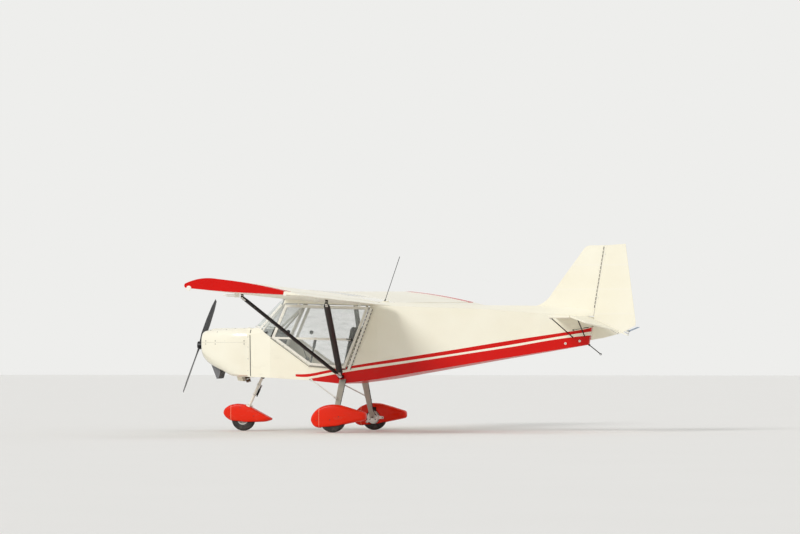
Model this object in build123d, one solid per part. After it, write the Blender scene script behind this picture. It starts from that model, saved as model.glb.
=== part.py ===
from build123d import *
import math
import os

# Two-seat high-wing ultralight aeroplane with a fabric-covered tube frame, parked on its three wheels.
# Millimetres, +Z up, nose towards -X, origin on the ground below the middle of the aeroplane.

# Cabin and body
CABIN_HALF_WIDTH = 555
BODY_WALL = 14
AFT_WALL = 8
TAIL_BLOCK_SHARE = 0.78
FIREWALL_X = -2110
FIREWALL_THICKNESS = 8
NOSE_HALF_WIDTH = 400
DOOR_THICKNESS = 18
DOOR_GAP = 6
DOOR_FRAME = 34
DOOR_HINGE_DEPTH = 4
SHEET = 4
FRAME_TUBE_RADIUS = 14
RAIL_Y = CABIN_HALF_WIDTH - 50

# Wing: one constant section from the cabin side to the tip
WING_ROOT_Y = CABIN_HALF_WIDTH + 5
WING_TIP_Y = 4750
TIP_BAND = 300
WING_NOSE_X = -1578
WING_ROOT_Z = 1721.5
CHORD = 1430
INCIDENCE = 4.9
DIHEDRAL = 0.95
NOSE_RADIUS = 28
CREST_HEIGHT = 110
BELLY_DEPTH = 32
FLAP_HINGE = 1240
FLAP_NOSE_RADIUS = 19
FLAP_AXIS_HEIGHT = 12
FLAP_START_Y = WING_ROOT_Y + 50
FLAP_END_Y = 2520
AILERON_START_Y = 2545
HINGE_GAP = 7
HINGE_PIN_RADIUS = 3
HINGE_PLATE = 4
HINGE_SLOT = 12

# Cowling and engine
COWL_FRONT_X = -2800
COWL_WALL = 6
COWL_SPLIT_Z = 1140
THRUST_Z = 1105
ENGINE_STANDOFF = 180
ENGINE_BLOCK = (350, 150, 880, 1190)  # length, half width, bottom and top
GEARBOX = (120, 85, 985, 1175)
ENGINE_REAR_X = FIREWALL_X - ENGINE_STANDOFF
GEARBOX_REAR_X = ENGINE_REAR_X - ENGINE_BLOCK[0]
ENGINE_TUBE_RADIUS = 11
SHAFT_RADIUS = 20
RUNNING_GAP = 0.06
RADIATOR_HALF_WIDTH = 110
OUTLET_HALF_WIDTH = 90
EXHAUST_RADIUS = 30
EXHAUST_BORE = 25

# Propeller
PROP_RADIUS = 920
PROP_X = -2868
PROP_HUB_RADIUS = 52
PROP_FLANGE_RADIUS = 38
PROP_ANGLE = 50
BLADE_PITCH = 17

# Wheels and legs
MAIN_WHEEL_X = -796
MAIN_WHEEL_Y = 1020
MAIN_TYRE_RADIUS = 167
MAIN_TYRE_WIDTH = 100
MAIN_RIM_RADIUS = 82
NOSE_WHEEL_X = -2276
NOSE_TYRE_RADIUS = 156
NOSE_TYRE_WIDTH = 86
NOSE_RIM_RADIUS = 72
AXLE_RADIUS = 10
NOSE_LEG_RADIUS = 17
NOSE_LEG_RAKE = 25.3
DAMPER_LUGS = (345, 485)
DAMPER_OFFSET = 34
DAMPER_RADIUS = 10
SPAT_WALL = 5
SPAT_HALF_WIDTH = 78
SIDE_PLAY = 0.3
LEG_FOOT_Y = 944
LEG_THICKNESS = 14
BRAKE_PLATE_RADIUS = 78

# Tail
TAIL_HINGE_X = 2300
TAIL_Z = 1452
TAIL_HALF_SPAN = 1150
TAIL_THICKNESS = 26
TAIL_CHORD = 415
ELEVATOR_NOSE_RADIUS = 12
ELEVATOR_DROOP = 22
FIN_THICKNESS = 32
RUDDER_NOSE_RADIUS = 15
RUDDER_TOP = (2516, 2366)
RUDDER_SLOPE = 0.163
RUDDER_FOOT_Z = 1168
TAIL_STRUT_RADIUS = 7
TRIM_TAB_TILT = 44
TAIL_ROD_RADIUS = 6
TAIL_ROD_START = (2262, 1128)
TAIL_ROD_END = (2436, 990)
TAIL_SOCKET_RADIUS = 10
TAIL_SOCKET_LENGTH = 40
AERIAL_RADIUS = 4

# Lift struts: pins at the body and under the wing
STRUT_FOOT = (-811, CABIN_HALF_WIDTH + 47, 708)
STRUT_TOP_Y = 2660
FRONT_STRUT = (64, 28)  # chord and thickness
REAR_STRUT = (80, 30)
REAR_STRUT_START = 45
STRUT_FOOT_TAPER = 150
STRUT_TOP_TAPER = 90
STRUT_END_SHARE = 0.5
FRONT_STRUT_TOP = (-1500, 1688)
REAR_STRUT_TOP = (-424, 1606)

os.makedirs("parts", exist_ok=True)


def write(name, *solids):
    export_step(Compound(children=list(solids)) if len(solids) > 1 else solids[0], f"parts/{name}.step")


def mirrored(shape):
    return mirror(shape, about=Plane.XZ)


def both(shape):
    return [shape, mirrored(shape)]


def side_plate(points, y_start, y_end):
    # A plate with the side view (x, z) outline, between two widths
    wire = Wire.make_polygon([(x, y_start, z) for x, z in points], close=True)
    return extrude(Face(wire), amount=y_end - y_start, dir=(0, 1, 0))


def plan_plate(points, z_start, z_end):
    wire = Wire.make_polygon([(x, y, z_start) for x, y in points], close=True)
    return extrude(Face(wire), amount=z_end - z_start, dir=(0, 0, 1))


def rod(start, end, radius):
    start, end = Vector(*start), Vector(*end)
    return Solid.make_cylinder(radius, (end - start).length, Plane(origin=start, z_dir=end - start))


def wheel_disc(centre, radius, width, hole=0):
    x, y, z = centre
    disc = Solid.make_cylinder(radius, width, Plane(origin=(x, y - width / 2, z), z_dir=(0, 1, 0)))
    if hole:
        disc -= rod((x, y - width, z), (x, y + width, z), hole)
    return disc


def box(x0, x1, y0, y1, z0, z1):
    return Solid.make_box(x1 - x0, y1 - y0, z1 - z0, Plane(origin=(x0, y0, z0)))


# Wing section, with u back along the chord and h above it
def wing_at(u, h, y=WING_ROOT_Y):
    lean = math.radians(INCIDENCE)
    rise = (abs(y) - WING_ROOT_Y) * math.tan(math.radians(DIHEDRAL)) if abs(y) > WING_ROOT_Y else 0
    x = WING_NOSE_X + u * math.cos(lean) + h * math.sin(lean)
    z = WING_ROOT_Z + rise - u * math.sin(lean) + h * math.cos(lean)
    return Vector(x, y, z)


def wing_face(y, drop=0):
    def at(u, h):
        return wing_at(u, h - drop, y)

    crest_u = 0.27 * CHORD
    nose = ThreePointArc(at(NOSE_RADIUS, -NOSE_RADIUS), at(0, 0), at(NOSE_RADIUS * 0.8, NOSE_RADIUS * 1.1))
    rise = ThreePointArc(nose @ 1, at(0.11 * CHORD, 0.79 * CREST_HEIGHT), at(crest_u, CREST_HEIGHT))
    fall = ThreePointArc(rise @ 1, at(0.62 * CHORD, 0.72 * CREST_HEIGHT), at(CHORD, 2))
    under = Polyline(fall @ 1, at(CHORD, -2), at(0.35 * CHORD, -BELLY_DEPTH), nose @ 0)
    return Face(Wire([nose, rise, fall] + under.edges()))


def wing_slice(u_start, u_end):
    # A tall slab square to the chord, used to cut the section into its parts
    corners = [wing_at(u, h, 0) for u, h in ((u_start, -300), (u_end, -300), (u_end, 300), (u_start, 300))]
    return side_plate([(c.X, c.Z) for c in corners], 0, 6000)


WING_RUN = Vector(0, 1, math.tan(math.radians(DIHEDRAL)))


def wing_length(y_start, y_end):
    return extrude(wing_face(y_start), amount=(y_end - y_start) * WING_RUN.length, dir=WING_RUN)


def flap_axis(y):
    return wing_at(FLAP_HINGE, FLAP_AXIS_HEIGHT, y)


FIXED_CHORD = FLAP_HINGE - FLAP_NOSE_RADIUS - HINGE_GAP


class Hinge:
    # A thin plate reaches from the fixed edge into a slot in the moving edge, round a pin across the slot
    def __init__(self, centre, axis, reach_dir, reach, nose_radius):
        centre, axis = Vector(*centre), Vector(*axis).normalized()
        reach_dir = Vector(*reach_dir)
        reach_dir = (reach_dir - axis * reach_dir.dot(axis)).normalized()

        def bar(radius, width):
            return rod(centre - axis * (width / 2), centre + axis * (width / 2), radius)

        flat = Plane(origin=centre - axis * (HINGE_PLATE / 2), x_dir=reach_dir, z_dir=axis)
        arm = extrude(flat * Pos(reach / 2, 0) * Rectangle(reach, 11), amount=HINGE_PLATE)
        self.plate = arm + bar(7, HINGE_PLATE) - bar(HINGE_PIN_RADIUS + RUNNING_GAP, 3 * HINGE_PLATE)
        self.slot = bar(nose_radius + 1.5, HINGE_SLOT)
        self.pin = bar(HINGE_PIN_RADIUS, HINGE_SLOT + 4)


def add_hinges(moving, fixed, hinges):
    for hinge in hinges:
        moving = moving - hinge.slot + hinge.pin
        fixed = fixed + (hinge.plate - fixed)
    return moving, fixed


def wing_hinges(places):
    reach = FLAP_NOSE_RADIUS + HINGE_GAP + 1
    back = wing_at(0, 0) - wing_at(100, 0)
    return [Hinge(flap_axis(y), WING_RUN, back, reach, FLAP_NOSE_RADIUS) for y in places]


def make_wing():
    fixed = wing_slice(-400, FIXED_CHORD)
    panel = wing_length(WING_ROOT_Y, WING_TIP_Y - TIP_BAND) & fixed
    tip = wing_length(WING_TIP_Y - TIP_BAND, WING_TIP_Y) & fixed
    return panel, tip


def make_hinged_surface(y_start, y_end):
    stock = wing_length(y_start, y_end)
    nose = rod(flap_axis(y_start - 40), flap_axis(y_end + 40), FLAP_NOSE_RADIUS)
    return stock & (wing_slice(FLAP_HINGE, CHORD + 50) + nose)


# Body: rows of section sizes, each a flat-bottomed tube with a shallow crown
# x, bottom z, bottom half width, shoulder z, shoulder half width, crown z, crown half width
NOSE_ROWS = (
    (FIREWALL_X, 700, NOSE_HALF_WIDTH - 25, 1240, NOSE_HALF_WIDTH, 1318, NOSE_HALF_WIDTH - 55),
    (-1760, 687, CABIN_HALF_WIDTH - 30, 1275, CABIN_HALF_WIDTH, 1340, CABIN_HALF_WIDTH - 85),
)
CABIN_ROWS = (
    NOSE_ROWS[1],
    (-1250, 655, CABIN_HALF_WIDTH - 20, 1275, CABIN_HALF_WIDTH, 1340, CABIN_HALF_WIDTH - 85),
    (-830, 612, CABIN_HALF_WIDTH - 20, 1275, CABIN_HALF_WIDTH, 1340, CABIN_HALF_WIDTH - 85),
)
AFT_ROWS = (
    (-830, 612, CABIN_HALF_WIDTH - 20, 1614, CABIN_HALF_WIDTH, 1640, CABIN_HALF_WIDTH - 85),
    (-350, 672, CABIN_HALF_WIDTH - 55, 1606, CABIN_HALF_WIDTH - 25, 1654, CABIN_HALF_WIDTH - 225),
    (945, 890, 300, 1562, 330, 1612, 60),
    (1700, 1012, 170, 1505, 195, 1603, 22),
    (2355, 1119, 17, 1464, 20, 1558, 11),
)


def body_section(row, wall):
    x, z0, w0, z1, w1, z2, w2 = row
    corners = ((w0 - wall, z0 + wall), (w1 - wall, z1 - wall / 3), (w2 - wall / 2, z2 - wall))
    right = [(x, w, z) for w, z in corners]
    left = [(x, -w, z) for w, z in reversed(corners)]
    return Wire.make_polygon(right + left, close=True)


def body_loft(rows, wall=0):
    return Solid.make_loft([body_section(row, wall) for row in rows], True)


# Side view outlines, as (x, z)
DOOR_FRONT_TOP = (-1560, 1630)
DOOR_FRONT = (-1745, 1200)
DOOR_LOW = (-1240, 842)
DOOR_HEEL = (-762, 798)
DOOR_REAR_TOP = (-440, 1596)
DOOR_OUTLINE = (DOOR_FRONT_TOP, DOOR_FRONT, DOOR_LOW, DOOR_HEEL, DOOR_REAR_TOP)
MID_BAR = ((-1745, 1200), (-600, 1168))
PILLAR_FOOT = (-1925, CABIN_HALF_WIDTH - 125, 1314)
PILLAR_TOP = (-1610, CABIN_HALF_WIDTH - 23, 1622)
WINDSCREEN_MIDDLES = ((-2088, 1345), (-1752, 1672), (-1606, 1722))


def door_face(inset):
    wire = Wire.make_polygon([(x, 0, z) for x, z in DOOR_OUTLINE], close=True)
    return offset(Face(wire), amount=-inset, kind=Kind.INTERSECTION) if inset else Face(wire)


def y_prism(face, y_start, y_end):
    return extrude(face.translate((0, y_start, 0)), amount=y_end - y_start, dir=(0, 1, 0))


def cabin_opening():
    # Everything above the sill: the windscreen base, the door openings and the space over them
    sill = [(-2100, 1900), (-2092, 1345), (-1925, 1318), DOOR_FRONT, DOOR_LOW, DOOR_HEEL]
    sill += [(DOOR_HEEL[0], 1900)]
    return side_plate(sill, -700, 700)


def front_body(wall):
    # The body ahead of the doors' rear corner, where the aft part begins
    heel_x = DOOR_HEEL[0]
    rear = body_loft(AFT_ROWS, wall) & box(AFT_ROWS[0][0], heel_x, -700, 700, 500, 1900)
    return body_loft(NOSE_ROWS, wall) + body_loft(CABIN_ROWS, wall) + rear


def floor_z(x):
    # The middle of the floor's thickness, where what stands on the floor may start
    rows = NOSE_ROWS[:1] + CABIN_ROWS + AFT_ROWS[1:2]
    for (x0, z0, *_), (x1, z1, *_) in zip(rows, rows[1:]):
        if x0 <= x <= x1:
            return z0 + (z1 - z0) * (x - x0) / (x1 - x0) + BODY_WALL / 2
    return rows[-1][1]


def make_cabin_tub():
    return front_body(0) - front_body(BODY_WALL) - cabin_opening()


def make_firewall():
    # The plate that closes the cabin's front, with the four engine tubes that stand on it
    rear = FIREWALL_X + FIREWALL_THICKNESS
    plate = body_loft(NOSE_ROWS, BODY_WALL) & box(FIREWALL_X, rear, -600, 600, 500, 1900)
    engine_y = ENGINE_BLOCK[1] - 25
    for side in (-1, 1):
        for z, z_wall in ((905, 850), (1165, 1210)):
            start = (ENGINE_REAR_X - 8, side * engine_y, z)
            tube = rod(start, (FIREWALL_X + 4, side * (engine_y + 65), z_wall), ENGINE_TUBE_RADIUS)
            plate += tube & box(ENGINE_REAR_X, FIREWALL_X + 1, -400, 400, 700, 1300)
    return plate


def aft_cut():
    # The part of the body behind the rear edge of the doors
    heel = (DOOR_HEEL[0], DOOR_HEEL[1])
    top = (DOOR_REAR_TOP[0], DOOR_REAR_TOP[1])
    return [(heel[0], 500), heel, top, (top[0] + 14, 1900), (2600, 1900), (2600, 500)]


def hinge_x(z):
    return RUDDER_TOP[0] - (RUDDER_TOP[1] - z) * RUDDER_SLOPE


def post_line():
    # The rear edge of the body and fin, clear of the rudder's round nose
    back = RUDDER_NOSE_RADIUS + HINGE_GAP
    return [(hinge_x(500) - back, 500), (hinge_x(1900) - back, 1900)]


def make_aft_body(solid_tail):
    outer = body_loft(AFT_ROWS)
    inner_rows = [row for row in AFT_ROWS[:-1]]
    last = tuple(a + (b - a) * TAIL_BLOCK_SHARE for a, b in zip(AFT_ROWS[-2], AFT_ROWS[-1]))
    inner = body_loft(inner_rows + [last], AFT_WALL)
    post = post_line()
    keep = side_plate(aft_cut(), -700, 700) - side_plate(post + [(2700, 1900), (2700, 500)], -90, 90)
    return (outer & keep) if solid_tail else (outer - inner) & keep


# Cowling rows: x, half width, bottom z, top z, corner radius
COWL_ROWS = (
    (COWL_FRONT_X, 150, 1018, 1246, 95),
    (-2776, 212, 955, 1276, 112),
    (-2712, 262, 890, 1296, 120),
    (-2600, 310, 828, 1306, 115),
    (-2480, 342, 775, 1312, 108),
    (-2340, 370, 722, 1315, 98),
    (FIREWALL_X, NOSE_HALF_WIDTH, 700, 1318, 80),
)


def cowl_section(row, wall):
    x, half, bottom, top, corner = row
    plane = Plane(origin=(x, 0, (bottom + top) / 2), x_dir=(0, 1, 0), z_dir=(1, 0, 0))
    outline = RectangleRounded(2 * (half - wall), top - bottom - 2 * wall, corner - wall)
    return (plane * outline).wires()[0]


def make_cowl():
    outer = Solid.make_loft([cowl_section(row, 0) for row in COWL_ROWS], True)
    inner = Solid.make_loft([cowl_section(row, COWL_WALL) for row in COWL_ROWS], True)
    inner = inner & box(COWL_FRONT_X + COWL_WALL, FIREWALL_X + 5, -500, 500, 600, 1400)
    shell = outer - inner
    shell -= rod((COWL_FRONT_X - 60, 0, THRUST_Z), (COWL_FRONT_X + 60, 0, THRUST_Z), PROP_HUB_RADIUS + 10)
    face = Plane(origin=(COWL_FRONT_X - 12, 132, 1150), x_dir=(0, 1, 0), z_dir=(1, 0, 0))
    inlet = extrude(face * SlotOverall(96, 44), amount=80)
    shell -= inlet
    shell -= mirrored(inlet)
    split = box(-2900, -2000, -500, 500, COWL_SPLIT_Z, 1500)
    return outer, shell & split, shell - split


def make_bulge():
    # The raised strip along the middle of the upper cowl
    rows = ((-2700, 70, 1313), (-2640, 120, 1325), (-2130, 150, 1331), (FIREWALL_X, 150, 1327))
    base, edge = 1290, 14
    wires = []
    for x, half, top in rows:
        points = [(x, -half, base), (x, -half, top - edge), (x, -half * 0.7, top)]
        points += [(x, half * 0.7, top), (x, half, top - edge), (x, half, base)]
        wires.append(Wire.make_polygon(points, close=True))
    return Solid.make_loft(wires, True)


# Engine, radiator and outlets
def make_engine():
    _, half, bottom, top = ENGINE_BLOCK
    block = box(GEARBOX_REAR_X, ENGINE_REAR_X, -half, half, bottom, top)
    length, half, bottom, top = GEARBOX
    front = GEARBOX_REAR_X - length
    gearbox = box(front, GEARBOX_REAR_X, -half, half, bottom, top)
    bore = rod((front - 40, 0, THRUST_Z), (GEARBOX_REAR_X + 40, 0, THRUST_Z), SHAFT_RADIUS + RUNNING_GAP)
    return block + gearbox - bore


def make_radiator(cowl):
    side = [(-2694, 900), (-2606, 676), (-2580, 681), (-2556, 760), (-2588, 860)]
    return side_plate(side, -RADIATOR_HALF_WIDTH, RADIATOR_HALF_WIDTH) - cowl


def make_outlet(cowl):
    side = [(-2350, 745), (-2326, 648), (-2250, 640), (-2290, 735)]
    return side_plate(side, -OUTLET_HALF_WIDTH, OUTLET_HALF_WIDTH) - cowl


def make_exhaust(cowl):
    top, end = Vector(-2238, 0, 732), Vector(-2205, 0, 630)
    run = end - top
    bore = rod(top + run * 0.67, end + run * 0.1, EXHAUST_BORE)
    return rod(top, end, EXHAUST_RADIUS) - bore - cowl


# Distance from the middle, chord, thickness, share of the pitch
BLADE_ROWS = (
    (40, 44, 30, 1.9),
    (200, 92, 20, 1.5),
    (480, 104, 13, 1.05),
    (760, 84, 9, 0.8),
    (PROP_RADIUS, 46, 6, 0.6),
)


def make_propeller():
    shaft = rod((PROP_X - 6, 0, THRUST_Z), (GEARBOX_REAR_X + 30, 0, THRUST_Z), SHAFT_RADIUS)
    hub = rod((PROP_X - 22, 0, THRUST_Z), (PROP_X + 24, 0, THRUST_Z), PROP_HUB_RADIUS)
    hub += rod((PROP_X, 0, THRUST_Z), (COWL_FRONT_X + 20, 0, THRUST_Z), PROP_FLANGE_RADIUS)
    wires = []
    for reach, chord, thick, twist in BLADE_ROWS:
        plane = Plane(origin=(0, 0, reach), x_dir=(0, 1, 0), z_dir=(0, 0, 1))
        outline = plane * Rot(0, 0, -BLADE_PITCH * twist) * Ellipse(chord / 2, thick / 2)
        wires.append(outline.wires()[0])
    blade = Solid.make_loft(wires, True)
    pair = blade + blade.rotate(Axis.X, 180)
    # The upper blade leans to starboard
    pair = pair.rotate(Axis.X, -PROP_ANGLE).translate((PROP_X, 0, THRUST_Z))
    return pair + hub + shaft


# Glazing: one bent sheet that turns back over the cabin to the wing's nose
def arc_strip(end, middle):
    # The sheet's cut edge: an outer and an inner arc about one centre, joined at the ends
    end, middle = Vector(*end), Vector(middle[0], 0, middle[1])
    other = Vector(end.X, -end.Y, end.Z)
    sag = Vector(end.X, 0, end.Z) - middle
    radius = (end.Y ** 2 + sag.length ** 2) / (2 * sag.length)
    centre = middle + sag.normalized() * radius
    inner = [centre + (point - centre) * (1 - SHEET / radius) for point in (end, middle, other)]
    edges = [Edge.make_three_point_arc(other, middle, end), Edge.make_line(end, inner[0])]
    edges += [Edge.make_three_point_arc(*inner), Edge.make_line(inner[2], other)]
    return Wire(edges)


def make_windscreen():
    head = (-1584, PILLAR_TOP[1], 1688)
    ends = (PILLAR_FOOT, PILLAR_TOP, head)
    strips = [arc_strip(end, middle) for end, middle in zip(ends, WINDSCREEN_MIDDLES)]
    lower, upper = [Solid.make_loft(pair, True) for pair in zip(strips, strips[1:])]
    return lower + upper


def make_quarter_window():
    foot, top = Vector(*PILLAR_FOOT), Vector(*PILLAR_TOP)
    window_y = CABIN_HALF_WIDTH - 15
    low = Vector(DOOR_FRONT[0] - 12, window_y, DOOR_FRONT[1] + 8)
    high = Vector(DOOR_FRONT_TOP[0] - 10, window_y, DOOR_FRONT_TOP[1])
    pillar = Edge.make_line(foot + Vector(6, 4, 0), top + Vector(6, 4, 0))
    edge = Edge.make_line(low, high)
    return thicken(Face.make_surface_from_curves(pillar, edge), SHEET)


def make_roof():
    skin_top = extrude(wing_face(-WING_ROOT_Y), amount=2 * WING_ROOT_Y, dir=(0, 1, 0))
    skin_low = extrude(wing_face(-WING_ROOT_Y, 8), amount=2 * WING_ROOT_Y, dir=(0, 1, 0))
    corners = [wing_at(u, h, 0) for u, h in ((-50, -6), (FIXED_CHORD, -6), (FIXED_CHORD, 300), (-50, 300))]
    keep = side_plate([(c.X, c.Z) for c in corners], -WING_ROOT_Y, WING_ROOT_Y)
    skin = (skin_top - skin_low) & keep
    light_y = CABIN_HALF_WIDTH - 125
    light = box(-1290, -700, -light_y, light_y, 1600, 2000)
    return skin - light, skin & light, skin_top


def make_root_fairing():
    # The fixed strip between the door's top edge and the wing, against the wing's end face
    lift = 2 * DOOR_GAP
    low_front = (DOOR_FRONT_TOP[0] - 14, DOOR_FRONT_TOP[1] + lift)
    low_rear = (DOOR_REAR_TOP[0] + 10, DOOR_REAR_TOP[1] + lift)
    rear, mid, front = wing_at(1130, 12, 0), wing_at(0.35 * CHORD, 0, 0), wing_at(30, -4, 0)
    points = [low_front, low_rear, (rear.X, rear.Z), (mid.X, mid.Z), (front.X, front.Z)]
    return side_plate(points, CABIN_HALF_WIDTH - 16, WING_ROOT_Y)


def make_cabin_frame():
    r = FRAME_TUBE_RADIUS
    front, rear = (-1560, RAIL_Y, 1652), (-470, RAIL_Y, 1622)
    one_side = rod(front, rear, r)
    one_side += rod((PILLAR_FOOT[0] + 30, PILLAR_FOOT[1] + 22, PILLAR_FOOT[2] - 42), front, r)
    one_side += rod((-820, RAIL_Y, floor_z(-820)), (-480, RAIL_Y, 1618), r)
    tubes = one_side + mirrored(one_side)
    for x, z in ((-1545, 1655), (-1440, 1649), (-480, 1618)):
        tubes += rod((x, -RAIL_Y, z), (x, RAIL_Y, z), r)
    # The pair of sloping tubes in the middle of the cabin
    for y in (-32, 32):
        tubes += rod((-1440, y, 1656), (-1876, y, floor_z(-1876)), r)
    return tubes


def make_panel():
    side = [(-1845, 1010), (-1845, 1262), (-1812, 1300), (-1796, 1286), (-1822, 1250), (-1822, 1010)]
    return side_plate(side, -CABIN_HALF_WIDTH, CABIN_HALF_WIDTH) & body_loft(NOSE_ROWS, BODY_WALL)


SEAT_X = -870
SEAT_Y = CABIN_HALF_WIDTH - 300
SEAT_Z = 800
SEAT_HALF_WIDTH = 215
SEAT_LEG_RADIUS = 11


def make_seat(y):
    half = SEAT_HALF_WIDTH
    pan_side = [(-420, 80), (-430, 20), (0, -65), (80, 0)]
    back_side = [(0, -65), (80, -65), (210, 560), (160, 575), (20, 30)]
    pan = side_plate([(SEAT_X + u, SEAT_Z + h) for u, h in pan_side], y - half, y + half)
    seat = pan + side_plate([(SEAT_X + u, SEAT_Z + h) for u, h in back_side], y - half + 10, y + half - 10)
    for x, top in ((SEAT_X - 360, SEAT_Z + 15), (SEAT_X - 30, SEAT_Z - 50)):
        for side in (-150, 150):
            seat += rod((x, y + side, floor_z(x)), (x, y + side, top), SEAT_LEG_RADIUS)
    return seat


STICK_X = -1370
STICK_KNEE_Z = 890
GRIP_RADIUS = 17


def make_stick():
    foot = rod((STICK_X, 0, floor_z(STICK_X)), (STICK_X, 0, STICK_KNEE_Z + 10), 12)
    stem = rod((STICK_X, 0, STICK_KNEE_Z), (STICK_X + 40, 0, STICK_KNEE_Z + 200), 11)
    return foot + stem + rod((STICK_X + 36, 0, 1070), (STICK_X + 62, 0, 1200), GRIP_RADIUS)


PEDAL_X = -1960
PEDAL_Z = 870
PEDAL_HALF_WIDTH = 45


def make_pedals():
    solids = []
    for y in (-330, -190, 190, 330):
        x = PEDAL_X + 15
        bar = rod((PEDAL_X, y, floor_z(PEDAL_X)), (x, y, PEDAL_Z), 8)
        pad = rod((x, y - PEDAL_HALF_WIDTH, PEDAL_Z), (x, y + PEDAL_HALF_WIDTH, PEDAL_Z), 11)
        solids.append(bar + pad)
    return solids


# Door: a tube frame with two panes, hinged along its top edge
def make_door():
    y0, y1 = CABIN_HALF_WIDTH - DOOR_THICKNESS, CABIN_HALF_WIDTH
    slab = y_prism(door_face(DOOR_GAP), y0, y1)
    opening = door_face(DOOR_GAP + DOOR_FRAME)
    (x0, z0), (x1, z1) = MID_BAR
    half = 13
    above = [(x0 - 80, z0 + half), (x1 + 90, z1 + half), (x1 + 300, 1700), (x0, 1700)]
    below = [(x0 - 80, z0 - half), (x1 + 90, z1 - half), (x1, 700), (x0, 700)]
    window = y_prism(opening, y0, y1)
    upper, lower = [window & side_plate(area, y0, y1) for area in (above, below)]
    frame = slab - upper - lower
    band = box(-2000, 0, y0 + 7, y0 + 7 + SHEET, 0, 2000)
    return frame, [upper & band, lower & band]


def door_axis(share):
    # A point along the hinge line, from the door's front top corner to the rear one
    (x0, z0), (x1, z1) = DOOR_FRONT_TOP, DOOR_REAR_TOP
    return Vector(x0 + (x1 - x0) * share, CABIN_HALF_WIDTH - DOOR_HINGE_DEPTH, z0 + (z1 - z0) * share)


def add_door_hinges(frame, fairing):
    along = (door_axis(1) - door_axis(0)).normalized()
    up = Vector(-along.Z, 0, along.X)
    for share in (0.16, 0.84):
        middle = door_axis(share)

        def knuckle(start, end, reach):
            base = middle + along * start
            plane = Plane(origin=base, x_dir=up, z_dir=along)
            size = abs(reach)
            plate = extrude(plane * Pos(reach / 2, 0) * Rectangle(size, 6), amount=end - start)
            return plate + rod(base, middle + along * end, DOOR_HINGE_DEPTH)

        pin = rod(middle - along * 14, middle + along * 14, 2)
        for start in (-14, 6):
            frame += knuckle(start, start + 8, -DOOR_GAP - 3)
        frame += pin
        hole = rod(middle - along * 20, middle + along * 20, 2 + RUNNING_GAP)
        fairing += knuckle(-5, 5, 2 * DOOR_GAP + 3) - hole - fairing
    return frame, fairing


# Landing gear
def make_tyre(centre, radius, width, rim):
    tyre = wheel_disc(centre, radius, width)
    tyre = fillet(tyre.edges().filter_by(GeomType.CIRCLE), width * 0.34)
    return tyre - wheel_disc(centre, rim, width + 10)


def make_rim(centre, radius, width):
    rim = wheel_disc(centre, radius, width * 0.8, AXLE_RADIUS + RUNNING_GAP)
    x, y, z = centre
    for side in (-1, 1):
        dish = (x, y + side * width * 0.4, z)
        rim -= wheel_disc(dish, radius - 9, width * 0.5) - wheel_disc(dish, 30, width * 0.52)
    return rim


# Wheel fairings, side outlines from the nose over the top to the tail
MAIN_SPAT = (
    (-1082, 150), (-1068, 208), (-1030, 262), (-975, 308), (-895, 342), (-804, 355), (-704, 349),
    (-604, 322), (-480, 285), (-357, 248), (-357, 160), (-500, 130), (-610, 108), (-720, 77), (-980, 56),
    (-1040, 80),
)
NOSE_SPAT = (
    (-2547, 232), (-2522, 290), (-2455, 334), (-2350, 353), (-2246, 342), (-2160, 305), (-2035, 238),
    (-1890, 162), (-1890, 142), (-1975, 117), (-2225, 106), (-2445, 130), (-2515, 178),
)


# Distance from the middle as a share of the half width, and the outline's share of its full size there
HALF_STATIONS = ((0.3, 1), (0.66, 0.97), (0.88, 0.9), (1, 0.8))
SPAT_STATIONS = [(-side, share) for side, share in reversed(HALF_STATIONS)] + list(HALF_STATIONS)


def spat_loft(points, y, wall):
    # The outline shrinks about its middle where the sides round off, and for the inside by the wall
    mid_x = sum(x for x, _ in points) / len(points)
    mid_z = sum(z for _, z in points) / len(points)
    height = max(z for _, z in points) - min(z for _, z in points)
    inside = 1 - 2 * wall / height
    wires = []
    for side, share in SPAT_STATIONS:
        size = inside * share
        across = y + side * (SPAT_HALF_WIDTH - wall)
        ring = [(mid_x + (x - mid_x) * size, mid_z + (z - mid_z) * size) for x, z in points]
        wires.append(Wire.make_polygon([(x, across, z) for x, z in ring], close=True))
    return Solid.make_loft(wires, True)


def make_spat(points, y):
    return spat_loft(points, y, 0) - spat_loft(points, y, SPAT_WALL)


def make_main_spat():
    spat = make_spat(MAIN_SPAT, MAIN_WHEEL_Y)
    spat -= box(MAIN_WHEEL_X - 160, MAIN_WHEEL_X + 160, MAIN_WHEEL_Y - 62, MAIN_WHEEL_Y + 62, 0, 120)
    hub = (MAIN_WHEEL_X, LEG_FOOT_Y - 40, MAIN_TYRE_RADIUS)
    spat -= rod(hub, (MAIN_WHEEL_X, MAIN_WHEEL_Y - 40, MAIN_TYRE_RADIUS), MAIN_RIM_RADIUS + 10)
    return spat - box(MAIN_WHEEL_X - 46, MAIN_WHEEL_X + 46, 900, MAIN_WHEEL_Y - 40, 160, 300)


def make_main_leg(body):
    wires = []
    top_y, foot_y = CABIN_HALF_WIDTH - 55, LEG_FOOT_Y - 12
    top_z, foot_z = 700, 150
    for y, z, chord in ((top_y, top_z, 88), (foot_y, foot_z, 58)):
        run = (0, foot_y - top_y, foot_z - top_z)
        plane = Plane(origin=(MAIN_WHEEL_X - 6, y, z), x_dir=(1, 0, 0), z_dir=run)
        wires.append((plane * SlotOverall(chord, LEG_THICKNESS)).wires()[0])
    return Solid.make_loft(wires, True) - body


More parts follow.
